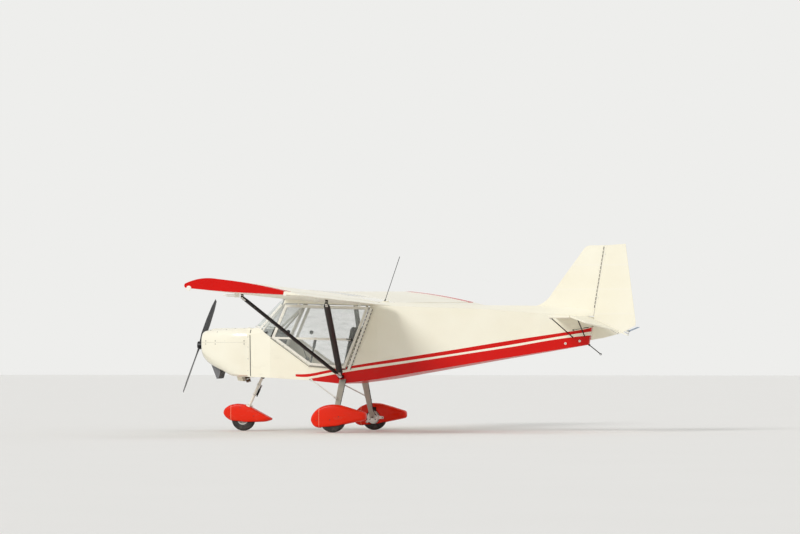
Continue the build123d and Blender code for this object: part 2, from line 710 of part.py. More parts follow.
def make_main_axle(leg):
    x, z = MAIN_WHEEL_X, MAIN_TYRE_RADIUS
    rim_half = 0.4 * MAIN_TYRE_WIDTH + SIDE_PLAY
    spat_inside = MAIN_WHEEL_Y + SPAT_HALF_WIDTH - SPAT_WALL
    axle = rod((x, LEG_FOOT_Y - 20, z), (x, spat_inside, z), AXLE_RADIUS)
    plate = rod((x, LEG_FOOT_Y - 4, z), (x, LEG_FOOT_Y + 8, z), BRAKE_PLATE_RADIUS)
    calliper = box(x + 30, x + 82, LEG_FOOT_Y - 4, LEG_FOOT_Y + 14, z - 22, z + 22)
    inner_collar = rod((x, LEG_FOOT_Y + 8, z), (x, MAIN_WHEEL_Y - rim_half, z), 16)
    nut = rod((x, MAIN_WHEEL_Y + rim_half, z), (x, MAIN_WHEEL_Y + rim_half + 12, z), 16)
    return axle + plate + calliper + inner_collar + nut - leg


def make_brace(body, leg):
    # It meets the leg about halfway down
    low_y = (CABIN_HALF_WIDTH - 55 + LEG_FOOT_Y - 12) / 2 + 76
    return rod((-1240, CABIN_HALF_WIDTH - 31, 676), (MAIN_WHEEL_X - 12, low_y, 424), 8) - body - leg


# Nose leg: raked along the steering axis through the axle
RAKE = math.radians(NOSE_LEG_RAKE)


def on_leg(distance, y=0, back=0):
    # A point at a distance up the steering axis, shifted square to it
    x = NOSE_WHEEL_X + distance * math.sin(RAKE) + back * math.cos(RAKE)
    return (x, y, NOSE_TYRE_RADIUS + distance * math.cos(RAKE) - back * math.sin(RAKE))


def make_nose_housing():
    tube = rod(on_leg(585), on_leg(900), NOSE_LEG_RADIUS + 8)
    return tube - rod(on_leg(560), on_leg(870), NOSE_LEG_RADIUS + RUNNING_GAP)


def make_nose_fork():
    leg = rod(on_leg(190), on_leg(860), NOSE_LEG_RADIUS)
    crown_low, crown_high = on_leg(178), on_leg(196)
    plane = Plane(origin=crown_low, x_dir=(0, 1, 0), z_dir=(math.sin(RAKE), 0, math.cos(RAKE)))
    fork = leg + extrude(plane * Rectangle(132, 52), amount=18)
    for y in (-62, 62):
        blade = plane * Pos(y, 0) * Rectangle(8, 40)
        fork += extrude(blade, amount=-204)
    # The damper stands behind the leg, between two lugs
    for distance in DAMPER_LUGS:
        fork += rod(on_leg(distance), on_leg(distance, 0, DAMPER_OFFSET), 6)
    ends = (DAMPER_LUGS[0] - 8, DAMPER_LUGS[1] + 8)
    low, high = [on_leg(distance, 0, DAMPER_OFFSET) for distance in ends]
    fork += rod(low, high, DAMPER_RADIUS)
    axle = rod(on_leg(0, -80), on_leg(0, 80), AXLE_RADIUS)
    return fork - axle


def make_nose_axle():
    axle = rod(on_leg(0, -68), on_leg(0, 68), AXLE_RADIUS)
    rim_half = 0.4 * NOSE_TYRE_WIDTH + SIDE_PLAY
    for side in (-1, 1):
        axle += rod(on_leg(0, side * rim_half), on_leg(0, side * 58), 15)
    return axle


def make_nose_spat(fork, axle):
    spat = make_spat(NOSE_SPAT, 0)
    x = NOSE_WHEEL_X
    spat -= box(x - 165, x + 165, -60, 60, 0, 150)
    spat -= rod(on_leg(100), on_leg(400), NOSE_LEG_RADIUS)
    return spat - fork - axle


# Tail
def make_fin(body, tailplane):
    rear_gap = RUDDER_NOSE_RADIUS + HINGE_GAP
    base = ThreePointArc((1600, 0, 1600), (1710, 0, 1650), (1822, 0, 1775))
    lead = Line((1822, 0, 1775), (2217, 0, 2307))
    tip = ThreePointArc((2217, 0, 2307), (2254, 0, 2347), (2314, 0, 2366))
    rest = Polyline(
        (2314, 0, 2366), (hinge_x(2366) - rear_gap, 0, 2366), (hinge_x(1474) - rear_gap, 0, 1474),
        (1600, 0, 1474), (1600, 0, 1600),
    )
    face = Face(Wire([base, lead, tip] + rest.edges()))
    fin = y_prism(face, -FIN_THICKNESS / 2, FIN_THICKNESS / 2)
    return fin - body - tailplane


def make_rudder():
    low_z = RUDDER_FOOT_Z
    outline = [
        (hinge_x(2366), 2366), (hinge_x(low_z), low_z),
        (2482, 1195), (2714, 1256), (2888, 1352), (2890, 1396), (2762, 2383),
    ]
    plate = side_plate(outline, -RUDDER_NOSE_RADIUS, RUDDER_NOSE_RADIUS)
    # The sides narrow from the round nose to a thin trailing edge
    one_side = [(2200, -15.5), (2360, -15.5), (2900, -5)]
    taper = plan_plate(one_side + [(x, -y) for x, y in reversed(one_side)], 1000, 2500)
    nose = rod((hinge_x(low_z), 0, low_z), (hinge_x(2366), 0, 2366), RUDDER_NOSE_RADIUS)
    tube_room = box(2200, TAIL_HINGE_X + 20, -60, 60, TAIL_Z - 26, TAIL_Z + 26)
    return (plate & taper) + nose - tube_room


def make_tailplane():
    rear = TAIL_HINGE_X - ELEVATOR_NOSE_RADIUS - 7
    root = TAIL_HINGE_X - TAIL_CHORD
    tip = [(root + 105, TAIL_HALF_SPAN - 60), (root + 155, TAIL_HALF_SPAN), (rear, TAIL_HALF_SPAN)]
    outline = [(root, 0)] + tip + [(x, -y) for x, y in reversed(tip)]
    return plan_plate(outline, TAIL_Z - TAIL_THICKNESS / 2, TAIL_Z + TAIL_THICKNESS / 2)


def make_elevator():
    start, top = TAIL_HINGE_X, ELEVATOR_NOSE_RADIUS
    half = plan_plate(
        [(start, 44), (start + 490, 262), (start + 470, 420), (start + 235, TAIL_HALF_SPAN - 25),
         (start + 200, TAIL_HALF_SPAN), (start, TAIL_HALF_SPAN)],
        -top, top,
    )
    taper = side_plate([(start, -top), (start + 500, -4), (start + 500, 4), (start, top)], 0, 1300)
    half = half & taper
    surface = half + mirrored(half) + rod((start, -TAIL_HALF_SPAN, 0), (start, TAIL_HALF_SPAN, 0), top)
    # The port tab is flat, and the starboard one is bent up
    port_tab = box(start + 465, start + 610, -400, -312, -4, 4)
    bent_tab = box(start + 455, start + 600, 300, 420, -4, 4)
    bent_tab = bent_tab.rotate(Axis((start + 462, 0, 0), (0, 1, 0)), -TRIM_TAB_TILT)
    surface = (surface + port_tab + bent_tab).translate((0, 0, TAIL_Z))
    return surface.rotate(Axis((TAIL_HINGE_X, 0, TAIL_Z), (0, 1, 0)), ELEVATOR_DROOP)


def tail_hinges():
    reach = ELEVATOR_NOSE_RADIUS + HINGE_GAP + 1
    return [
        Hinge((TAIL_HINGE_X, y, TAIL_Z), (0, 1, 0), (-1, 0, 0), reach, ELEVATOR_NOSE_RADIUS)
        for y in (-1010, -260, 260, 1010)
    ]


def rudder_hinges(heights):
    reach = RUDDER_NOSE_RADIUS + HINGE_GAP + 1
    axis = (RUDDER_SLOPE, 0, 1)
    return [Hinge((hinge_x(z), 0, z), axis, (-1, 0, 0), reach, RUDDER_NOSE_RADIUS) for z in heights]


def make_tail_struts(body):
    low = TAIL_Z - TAIL_THICKNESS / 2
    front = rod((2100, 40, 1190), (1992, TAIL_HALF_SPAN - 250, low), TAIL_STRUT_RADIUS)
    rear = rod((2240, 20, 1205), (2262, TAIL_HALF_SPAN - 550, low), TAIL_STRUT_RADIUS)
    cut = box(1900, 2400, -1200, 1200, low, 1600)
    side = (front + rear) - body - cut
    return [side] if len(side.solids()) == 1 else list(side.solids())


def make_tail_rod(body):
    # A thin rod in a socket at the foot of the tail post
    start, end = [Vector(x, 0, z) for x, z in (TAIL_ROD_START, TAIL_ROD_END)]
    socket_end = start + (end - start).normalized() * TAIL_SOCKET_LENGTH
    return rod(start, end, TAIL_ROD_RADIUS) + rod(start, socket_end, TAIL_SOCKET_RADIUS) - body


def make_aerial():
    base = Solid.make_cylinder(60, 36, Plane(origin=(-392, 0, 1632)))
    return base + rod((-392, 0, 1650), (-188, 0, 2240), AERIAL_RADIUS)


def strut_bar(foot, top, size, start=0):
    # An oval bar whose chord narrows towards both ends
    chord, thick = size
    run = top - foot
    along = run.normalized()
    chord_dir = (Vector(1, 0, 0) - along * along.X).normalized()
    stations = (
        (start, STRUT_END_SHARE + (1 - STRUT_END_SHARE) * start / STRUT_FOOT_TAPER),
        (STRUT_FOOT_TAPER, 1),
        (run.length - STRUT_TOP_TAPER, 1),
        (run.length, STRUT_END_SHARE),
    )
    wires = []
    for distance, share in stations:
        plane = Plane(origin=foot + along * distance, x_dir=chord_dir, z_dir=run)
        wires.append((plane * Ellipse(chord * share / 2, thick / 2)).wires()[0])
    return Solid.make_loft(wires, True)


def make_lift_struts(body, wing):
    # The front strut carries the foot plate, and the rear one ends against it
    foot = Vector(*STRUT_FOOT)
    tops = [Vector(x, STRUT_TOP_Y, z) for x, z in (FRONT_STRUT_TOP, REAR_STRUT_TOP)]
    struts = []
    for top, size, start in zip(tops, (FRONT_STRUT, REAR_STRUT), (0, REAR_STRUT_START)):
        bar = strut_bar(foot, top, size, start)
        lug = box(top.X - 16, top.X + 16, STRUT_TOP_Y - 22, STRUT_TOP_Y - 6, top.Z - 22, top.Z + 60)
        struts.append((bar + lug) - wing - body)
    plate = box(foot.X - 28, foot.X + 28, CABIN_HALF_WIDTH - 25, foot.Y + 10, foot.Z - 30, foot.Z + 14)
    front = struts[0] + plate - body
    return front, struts[1] - front


def main():
    wing, tip = make_wing()
    flap = make_hinged_surface(FLAP_START_Y, FLAP_END_Y)
    flap, wing = add_hinges(flap, wing, wing_hinges((760, 1560, 2370)))
    aileron = make_hinged_surface(AILERON_START_Y, WING_TIP_Y)
    aileron, wing = add_hinges(aileron, wing, wing_hinges((2700, 3500, 4300)))
    for name, starboard in (("wing", wing), ("wing_tip", tip), ("flap", flap), ("aileron", aileron)):
        write(f"{name}_starboard", starboard)
        write(f"{name}_port", mirrored(starboard))

    tub = make_cabin_tub()
    housing = make_nose_housing()
    tub -= rod(on_leg(500), on_leg(900), NOSE_LEG_RADIUS + 8)
    tailplane = make_tailplane()
    aft_solid = make_aft_body(True)
    aft = make_aft_body(False) - tailplane
    body = front_body(0) + aft_solid
    tube_room = box(TAIL_HINGE_X - 19, TAIL_HINGE_X + 60, -100, 100, TAIL_Z - 19, TAIL_Z + 19)
    aft -= tube_room
    fin = make_fin(body, tailplane) - tube_room
    rudder, aft = add_hinges(make_rudder(), aft, rudder_hinges((1230, 1360)))
    rudder, fin = add_hinges(rudder, fin, rudder_hinges((1700, 2250)))
    elevator, tailplane = add_hinges(make_elevator(), tailplane, tail_hinges())
    write("cabin_tub", tub)
    write("firewall", make_firewall())
    write("aft_fuselage", aft)
    write("nose_leg_housing", housing)

    cowl, upper, lower = make_cowl()
    bulge = make_bulge() - cowl
    write("cowl_upper", upper + bulge)
    write("cowl_lower", lower)
    write("engine_block", make_engine())
    write("radiator", make_radiator(cowl))
    write("cooling_outlet", make_outlet(cowl))
    write("exhaust", make_exhaust(cowl))
    write("propeller", make_propeller())

    cabin_frame = make_cabin_frame() - tub - aft
    panel = make_panel() - cabin_frame
    write("windscreen", make_windscreen() - tub - cabin_frame)
    quarter_window = make_quarter_window() - tub - cabin_frame - panel
    roof, light, roof_envelope = make_roof()
    roof -= body
    write("roof_panel", roof)
    write("cabin_windows", light, *both(quarter_window))
    fairing = make_root_fairing() - body
    write("cabin_frame", cabin_frame)
    write("instrument_panel", panel)
    write("seat_port", make_seat(-SEAT_Y) - tub)
    write("seat_starboard", make_seat(SEAT_Y) - tub)
    write("control_stick", make_stick() - tub)
    write("rudder_pedals", *[pedal - tub for pedal in make_pedals()])

    frame, panes = make_door()
    frame, fairing = add_door_hinges(frame, fairing)
    write("root_fairings", *both(fairing))
    write("door_frame_starboard", frame)
    write("door_panes_starboard", *panes)
    write("door_frame_port", mirrored(frame))
    write("door_panes_port", *[mirrored(pane) for pane in panes])

    leg = make_main_leg(body)
    axle = make_main_axle(leg)
    brace = make_brace(body, leg)
    spat = make_main_spat() - leg - axle
    front_strut, rear_strut = make_lift_struts(body, wing)
    centre = (MAIN_WHEEL_X, MAIN_WHEEL_Y, MAIN_TYRE_RADIUS)
    tyre = make_tyre(centre, MAIN_TYRE_RADIUS, MAIN_TYRE_WIDTH, MAIN_RIM_RADIUS)
    rim = make_rim(centre, MAIN_RIM_RADIUS, MAIN_TYRE_WIDTH)
    for name, starboard in (
        ("main_leg", leg), ("main_spat", spat), ("main_tyre", tyre), ("main_rim", rim),
    ):
        write(f"{name}_starboard", starboard)
        write(f"{name}_port", mirrored(starboard))
    write("main_axles", *both(axle))
    write("drag_braces", *both(brace))
    write("front_struts", *both(front_strut))
    write("rear_struts", *both(rear_strut))

    fork, nose_axle = make_nose_fork(), make_nose_axle()
    write("nose_fork", fork)
    write("nose_axle", nose_axle)
    write("nose_spat", make_nose_spat(fork, nose_axle))
    centre = (NOSE_WHEEL_X, 0, NOSE_TYRE_RADIUS)
    write("nose_tyre", make_tyre(centre, NOSE_TYRE_RADIUS, NOSE_TYRE_WIDTH, NOSE_RIM_RADIUS))
    write("nose_rim", make_rim(centre, NOSE_RIM_RADIUS, NOSE_TYRE_WIDTH))

    write("fin", fin)
    write("rudder", rudder)
    write("tailplane", tailplane)
    write("elevator", elevator)
    tail_struts = make_tail_struts(body)
    write("tail_struts", *tail_struts, *[mirrored(strut) for strut in tail_struts])
    write("tail_skid", make_tail_rod(body))
    write("aerial", make_aerial() - body - roof_envelope)


main()
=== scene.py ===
import math

import bmesh
import bpy
from mathutils import Matrix, Vector
from mathutils.bvhtree import BVHTree


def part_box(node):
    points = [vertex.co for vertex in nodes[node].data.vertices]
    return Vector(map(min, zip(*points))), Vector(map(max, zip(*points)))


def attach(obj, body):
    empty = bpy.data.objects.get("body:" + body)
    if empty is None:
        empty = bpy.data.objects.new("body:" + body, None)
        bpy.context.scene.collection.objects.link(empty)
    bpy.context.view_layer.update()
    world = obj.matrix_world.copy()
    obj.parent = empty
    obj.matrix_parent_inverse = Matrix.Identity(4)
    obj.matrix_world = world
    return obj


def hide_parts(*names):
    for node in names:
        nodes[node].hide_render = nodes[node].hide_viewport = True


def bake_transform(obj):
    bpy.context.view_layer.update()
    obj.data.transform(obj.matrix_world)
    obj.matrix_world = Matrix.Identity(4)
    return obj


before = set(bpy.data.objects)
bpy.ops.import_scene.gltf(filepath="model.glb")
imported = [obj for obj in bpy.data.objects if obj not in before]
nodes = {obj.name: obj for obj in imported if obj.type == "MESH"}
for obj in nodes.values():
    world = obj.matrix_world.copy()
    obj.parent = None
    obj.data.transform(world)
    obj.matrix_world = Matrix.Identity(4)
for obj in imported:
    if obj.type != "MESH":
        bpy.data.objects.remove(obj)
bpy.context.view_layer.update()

bothSides = (("port", -1), ("starboard", 1))  # and the way along Y
thrustZ = 1.105
noseAxle = Vector((-2.276, 0, 0.156))
noseRake = math.radians(25.3)
noseWay = Vector((math.sin(noseRake), 0, math.cos(noseRake)))  # up along the nose leg
print("frame loaded,", len(nodes), "nodes")

# tools for making pieces


def deselectAll():
    if bpy.context.object and bpy.context.object.mode != "OBJECT":
        bpy.ops.object.mode_set(mode="OBJECT")
    for item in list(bpy.context.selected_objects):
        item.select_set(False)


def pick(*pieces):
    deselectAll()
    for piece in pieces:
        piece.select_set(True)
    bpy.context.view_layer.objects.active = pieces[0]


def duplicate(piece):
    twin = piece.copy()
    twin.data = piece.data.copy()
    bpy.context.scene.collection.objects.link(twin)
    return twin


def add(operator, name, **how):
    deselectAll()
    operator(**how)
    piece = bpy.context.object
    piece.name = piece.data.name = name
    return piece


def editMode(piece, select="SELECT"):
    pick(piece)
    bpy.ops.object.mode_set(mode="EDIT")
    bpy.ops.mesh.select_all(action=select)


def objectMode():
    bpy.ops.object.mode_set(mode="OBJECT")


def settle(piece):  # its place goes into its mesh
    pick(piece)
    bpy.ops.object.transform_apply(location=True, rotation=True, scale=True)
    return piece


def modify(piece, kind, **settings):
    modifier = piece.modifiers.new(kind.title(), kind)
    for key, value in settings.items():
        setattr(modifier, key, value)
    pick(piece)
    bpy.ops.object.modifier_apply(modifier=modifier.name)
    return piece


def cut(piece, *cutters):
    for cutter in cutters:
        modify(piece, "BOOLEAN", operation="DIFFERENCE", object=cutter, solver="EXACT")
        bpy.data.objects.remove(cutter)
    return piece


def join(name, pieces):
    pick(*pieces)
    if len(pieces) > 1:
        bpy.ops.object.join()
    piece = bpy.context.object
    piece.name = piece.data.name = name
    return piece


def tidyNormals(piece, merge=0.00002):
    editMode(piece)
    bpy.ops.mesh.remove_doubles(threshold=merge)
    bpy.ops.mesh.normals_make_consistent(inside=False)
    objectMode()
    return piece


def complete(piece, finish, body="airframe", slot=None, smooth=35):  # body None: the piece is attached to no body
    settle(piece)
    piece.data.materials.clear()
    piece.data.materials.append(finish.material)
    bpy.ops.object.shade_smooth_by_angle(angle=math.radians(smooth))
    if body:
        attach(piece, body)
    slot = slot or finish.slot
    return piece


def unite(name, pieces, *how, **more):  # joined, then completed
    return complete(join(name, pieces), *how, **more)


def turnTo(direction):  # the turn that takes +Z to a direction
    direction = Vector(direction).normalized()
    return direction.to_track_quat("Z", "Y").to_euler()


def block(name, low, high, bevel=0.0, segments=2):
    low, high = Vector(low), Vector(high)
    piece = add(bpy.ops.mesh.primitive_cube_add, name, size=1, location=(low + high) / 2, scale=high - low)
    settle(piece)
    if bevel:
        editMode(piece)
        bpy.ops.mesh.bevel(offset=bevel, segments=segments, affect="EDGES")
        objectMode()
    return piece


def bar(name, start, end, radius, bevel=0.0, sides=20):
    start, end = Vector(start), Vector(end)
    piece = add(bpy.ops.mesh.primitive_cylinder_add, name, vertices=sides, radius=radius,
                depth=(end - start).length, location=(start + end) / 2, rotation=turnTo(end - start))
    settle(piece)
    if bevel:
        modify(piece, "BEVEL", width=bevel, segments=2, limit_method="ANGLE", angle_limit=math.radians(50))
    return piece


def crossBar(name, middle, half, radius, sides=16):  # a bar along Y
    reach = Vector((0, half, 0))
    return bar(name, middle - reach, middle + reach, radius, sides=sides)


def boxier(value, power):  # a cosine or sine, pushed out so that the round becomes more of a box
    return math.copysign(abs(value) ** power, value)


def around(centre, angle, radius):  # a point on a circle about a line along Y
    x, y, z = centre
    return Vector((x + math.cos(angle) * radius, y, z + math.sin(angle) * radius))


def tube(name, points, radius, smooth=True, sides=3):
    curve = bpy.data.curves.new(name, "CURVE")
    curve.dimensions = "3D"
    curve.bevel_depth = radius
    curve.bevel_resolution = sides
    curve.use_fill_caps = True
    line = curve.splines.new("NURBS" if smooth else "POLY")
    line.points.add(len(points) - 1)
    for spot, point in zip(line.points, points):
        spot.co = (*point, 1)
    if smooth:
        line.order_u = 3
        line.use_endpoint_u = True
    piece = bpy.data.objects.new(name, curve)
    bpy.context.scene.collection.objects.link(piece)
    pick(piece)
    bpy.ops.object.convert(target="MESH")
    piece = bpy.context.object
    return tidyNormals(piece)


def lathe(name, profile, centre, axis, steps=56):
    # profile rows are (along the axis, out from it); a single point is extruded along them and spun
    axis, centre = Vector(axis).normalized(), Vector(centre)
    out = axis.orthogonal().normalized()
    spots = [centre + axis * along + out * far for along, far in profile]
    piece = add(bpy.ops.mesh.primitive_plane_add, name, size=0.001)
    bpy.ops.object.mode_set(mode="EDIT")
    bpy.ops.mesh.merge(type="CENTER")
    bpy.ops.transform.translate(value=spots[0])
    for last, spot in zip(spots, spots[1:]):
        bpy.ops.mesh.extrude_vertices_move(TRANSFORM_OT_translate={"value": spot - last})
    bpy.ops.mesh.select_all(action="SELECT")
    bpy.ops.mesh.spin(steps=steps, angle=math.tau, center=centre, axis=axis)
    objectMode()
    return tidyNormals(piece)


def loft(name, rings, capped=True):
    # a circle is extruded ring by ring, and each new ring is fitted to its own points
    rings = [[Vector(point) for point in ring] for ring in rings]
    piece = add(bpy.ops.mesh.primitive_circle_add, name, vertices=len(rings[0]), radius=1)
    bpy.ops.object.mode_set(mode="EDIT")
    mesh = bmesh.from_edit_mesh(piece.data)
    mesh.verts.ensure_lookup_table()
    for spot, point in zip(mesh.verts, rings[0]):
        spot.co = point
    for old, ring in zip(rings, rings[1:]):
        bmesh.update_edit_mesh(piece.data)
        bpy.ops.mesh.extrude_region_move(TRANSFORM_OT_translate={"value": (0, 0, 0)})
        mesh = bmesh.from_edit_mesh(piece.data)
        fresh = [spot for spot in mesh.verts if spot.select]
        targets = [min(range(len(old)), key=lambda i: (old[i] - spot.co).length_squared) for spot in fresh]
        for spot, target in zip(fresh, targets):
            spot.co = ring[target]
    bmesh.update_edit_mesh(piece.data)
    if capped:
        bpy.ops.mesh.edge_face_add()
        bpy.ops.mesh.select_all(action="DESELECT")
        bpy.ops.mesh.select_non_manifold()
        bpy.ops.mesh.edge_face_add()
    bpy.ops.mesh.select_all(action="SELECT")
    bpy.ops.mesh.normals_make_consistent(inside=False)
    objectMode()
    return piece


def standOn(piece, spot, direction):  # a piece modelled at the origin with +Z outwards goes to its place
    piece.matrix_world = Matrix.Translation(Vector(spot)) @ turnTo(direction).to_matrix().to_4x4()
    return piece


def scatter(name, pattern, places):  # copies of a small piece, as one mesh
    copies = [standOn(duplicate(pattern), spot, direction) for spot, direction in places]
    bpy.data.objects.remove(pattern)
    bpy.context.view_layer.update()
    return settle(join(name, copies))


def screwHead(radius, height):  # a low domed head with a sunk middle
    piece = add(bpy.ops.mesh.primitive_cylinder_add, "screwPattern", vertices=10, radius=radius, depth=height)
    editMode(piece, "DESELECT")
    mesh = bmesh.from_edit_mesh(piece.data)
    for face in mesh.faces:
        face.select = face.normal.z > 0.9
    bpy.ops.mesh.inset(thickness=radius * 0.22, depth=height * 0.25)
    bpy.ops.mesh.inset(thickness=radius * 0.3, depth=-height * 0.35)
    objectMode()
    return piece


def alongLine(start, end, count, direction, margin=0.0):
    start, end = Vector(start), Vector(end)
    shares = [margin + (1 - 2 * margin) * i / (count - 1) for i in range(count)]
    return [(start.lerp(end, share), direction) for share in shares]


def smoothRows(rows, steps=4):  # a smooth curve through rows of sizes
    made = []
    for i in range(len(rows) - 1):
        before, first, second, after = [rows[min(max(k, 0), len(rows) - 1)] for k in (i - 1, i, i + 1, i + 2)]
        for step in range(steps):
            t = step / steps
            made.append([0.5 * (2 * b + (c - a) * t + (2 * a - 5 * b + 4 * c - d) * t * t
                                + (3 * b - a - 3 * c + d) * t ** 3)
                         for a, b, c, d in zip(before, first, second, after)])
    return made + [list(rows[-1])]


def roundedOutline(points, size, steps=3):  # each corner becomes a short curve
    made = []
    for i, corner in enumerate(points):
        corner = Vector(corner)
        before, after = Vector(points[i - 1]) - corner, Vector(points[(i + 1) % len(points)]) - corner
        start = corner + before.normalized() * min(size, before.length * 0.42)
        end = corner + after.normalized() * min(size, after.length * 0.42)
        for k in range(steps + 1):
            share = k / steps
            spot = start.lerp(corner, share).lerp(corner.lerp(end, share), share)
            made.append((spot.x, spot.y))
    return made


def outlineAt(outline, centre, angle):  # where a ray from the centre meets the outline
    dx, dz = math.cos(angle), math.sin(angle)
    far = 0
    for (ax, az), (bx, bz) in zip(outline, outline[1:] + outline[:1]):
        ex, ez = bx - ax, bz - az
        turn = dx * ez - dz * ex
        if abs(turn) > 1e-12:
            wx, wz = ax - centre[0], az - centre[1]
            reach, share = (wx * ez - wz * ex) / turn, (wx * dz - wz * dx) / turn
            if reach > 0 and -1e-9 <= share <= 1 + 1e-9:
                far = max(far, reach)
    return (centre[0] + dx * far, centre[1] + dz * far)


def roundedBox(half, low, high, corner, steps=6):
    spots = []
    for sideY, z, start in ((1, high, 0), (-1, high, 90), (-1, low, 180), (1, low, 270)):
        centre = (sideY * (half - corner), z - corner if z == high else z + corner)
        for i in range(steps + 1):
            angle = math.radians(start + 90 * i / steps)
            spots.append((centre[0] + corner * math.cos(angle), centre[1] + corner * math.sin(angle)))
    return spots


def strip(name, points, width, thickness, outward):
    # a flat band along points, with its back on the surface that faces outward
    spots = [Vector(point) for point in points]
    rings = []
    for i, spot in enumerate(spots):
        ahead = (spots[min(i + 1, len(spots) - 1)] - spots[max(i - 1, 0)]).normalized()
        normal = Vector(outward[i] if isinstance(outward, list) else outward)
        normal = (normal - ahead * normal.dot(ahead)).normalized()
        side = ahead.cross(normal)
        shape = ((-1, 0), (-1, 0.6), (-0.86, 1), (0.86, 1), (1, 0.6), (1, 0))
        rings.append([spot + side * (across * width / 2) + normal * (rise * thickness)
                      for across, rise in shape])
    return loft(name, rings)


def between(first, last, count):
    return [Vector(first).lerp(Vector(last), i / (count - 1)) for i in range(count)]


def boltWithNut(name, centre, axis, half, radius):
    axis, centre = Vector(axis).normalized(), Vector(centre)
    shank = [(-half - 0.009, 0.0), (-half - 0.009, radius * 1.5), (-half - 0.001, radius * 1.7),
             (-half, radius * 2.1), (-half + 0.002, radius * 2.1), (-half + 0.002, radius),
             (half - 0.002, radius), (half - 0.002, radius * 2.1), (half, radius * 2.1),
             (half + 0.001, radius * 1.6), (half + 0.007, radius * 1.5), (half + 0.008, radius * 0.9),
             (half + 0.014, radius * 0.9), (half + 0.014, 0.0)]
    return lathe(name, shank, centre, axis, 18)


def plateFrom(name, outline, centre, y0, y1, bevel=0.0015):
    # a flat plate from a side outline, given from its middle
    rings = [[(centre[0] + x, y, centre[1] + z) for x, z in roundedOutline(outline, 0.012)] for y in (y0, y1)]
    plate = loft(name, rings)
    return modify(plate, "BEVEL", width=bevel, segments=1, limit_method="ANGLE", angle_limit=math.radians(50))


skins = {}  # the surfaces that meet has looked at


def meet(piece, start, direction):  # where a line meets a piece, and which way the surface faces there
    if piece.name not in skins:
        mesh = piece.data
        skins[piece.name] = BVHTree.FromPolygons([spot.co for spot in mesh.vertices],
                                                 [face.vertices[:] for face in mesh.polygons])
    spot, facing = skins[piece.name].ray_cast(Vector(start), Vector(direction).normalized())[:2]
    if spot is None:
        raise ValueError("nothing of " + piece.name + " lies there")
    if facing.dot(Vector(direction)) > 0:
        facing = -facing
    return spot, facing


# tools for making materials


def screenColour(red, green, blue):
    def linear(value):
        value = value / 255
        return value / 12.92 if value <= 0.04045 else ((value + 0.055) / 1.055) ** 2.4
    return (linear(red), linear(green), linear(blue), 1)


class Signal:  # an output socket; sums on it add their Math nodes
    def __init__(self, finish, socket):
        self.finish, self.socket = finish, socket

    def maths(self, operation, *values):
        return self.finish.node("Math", {"operation": operation}, list(values))

    def __add__(self, other):
        return self.maths("ADD", self, other)

    def __sub__(self, other):
        return self.maths("SUBTRACT", self, other)

    def __mul__(self, other):
        return self.maths("MULTIPLY", self, other)

    def __truediv__(self, other):
        return self.maths("DIVIDE", self, other)

    def __gt__(self, other):
        return self.maths("GREATER_THAN", self, other)

    def __lt__(self, other):
        return self.maths("LESS_THAN", self, other)

    def __mod__(self, other):
        return self.maths("FLOORED_MODULO", self, other)

    def __abs__(self):
        return self.maths("ABSOLUTE", self)

    def both(self, other):
        return self.maths("MINIMUM", self, other)

    def either(self, other):
        return self.maths("MAXIMUM", self, other)


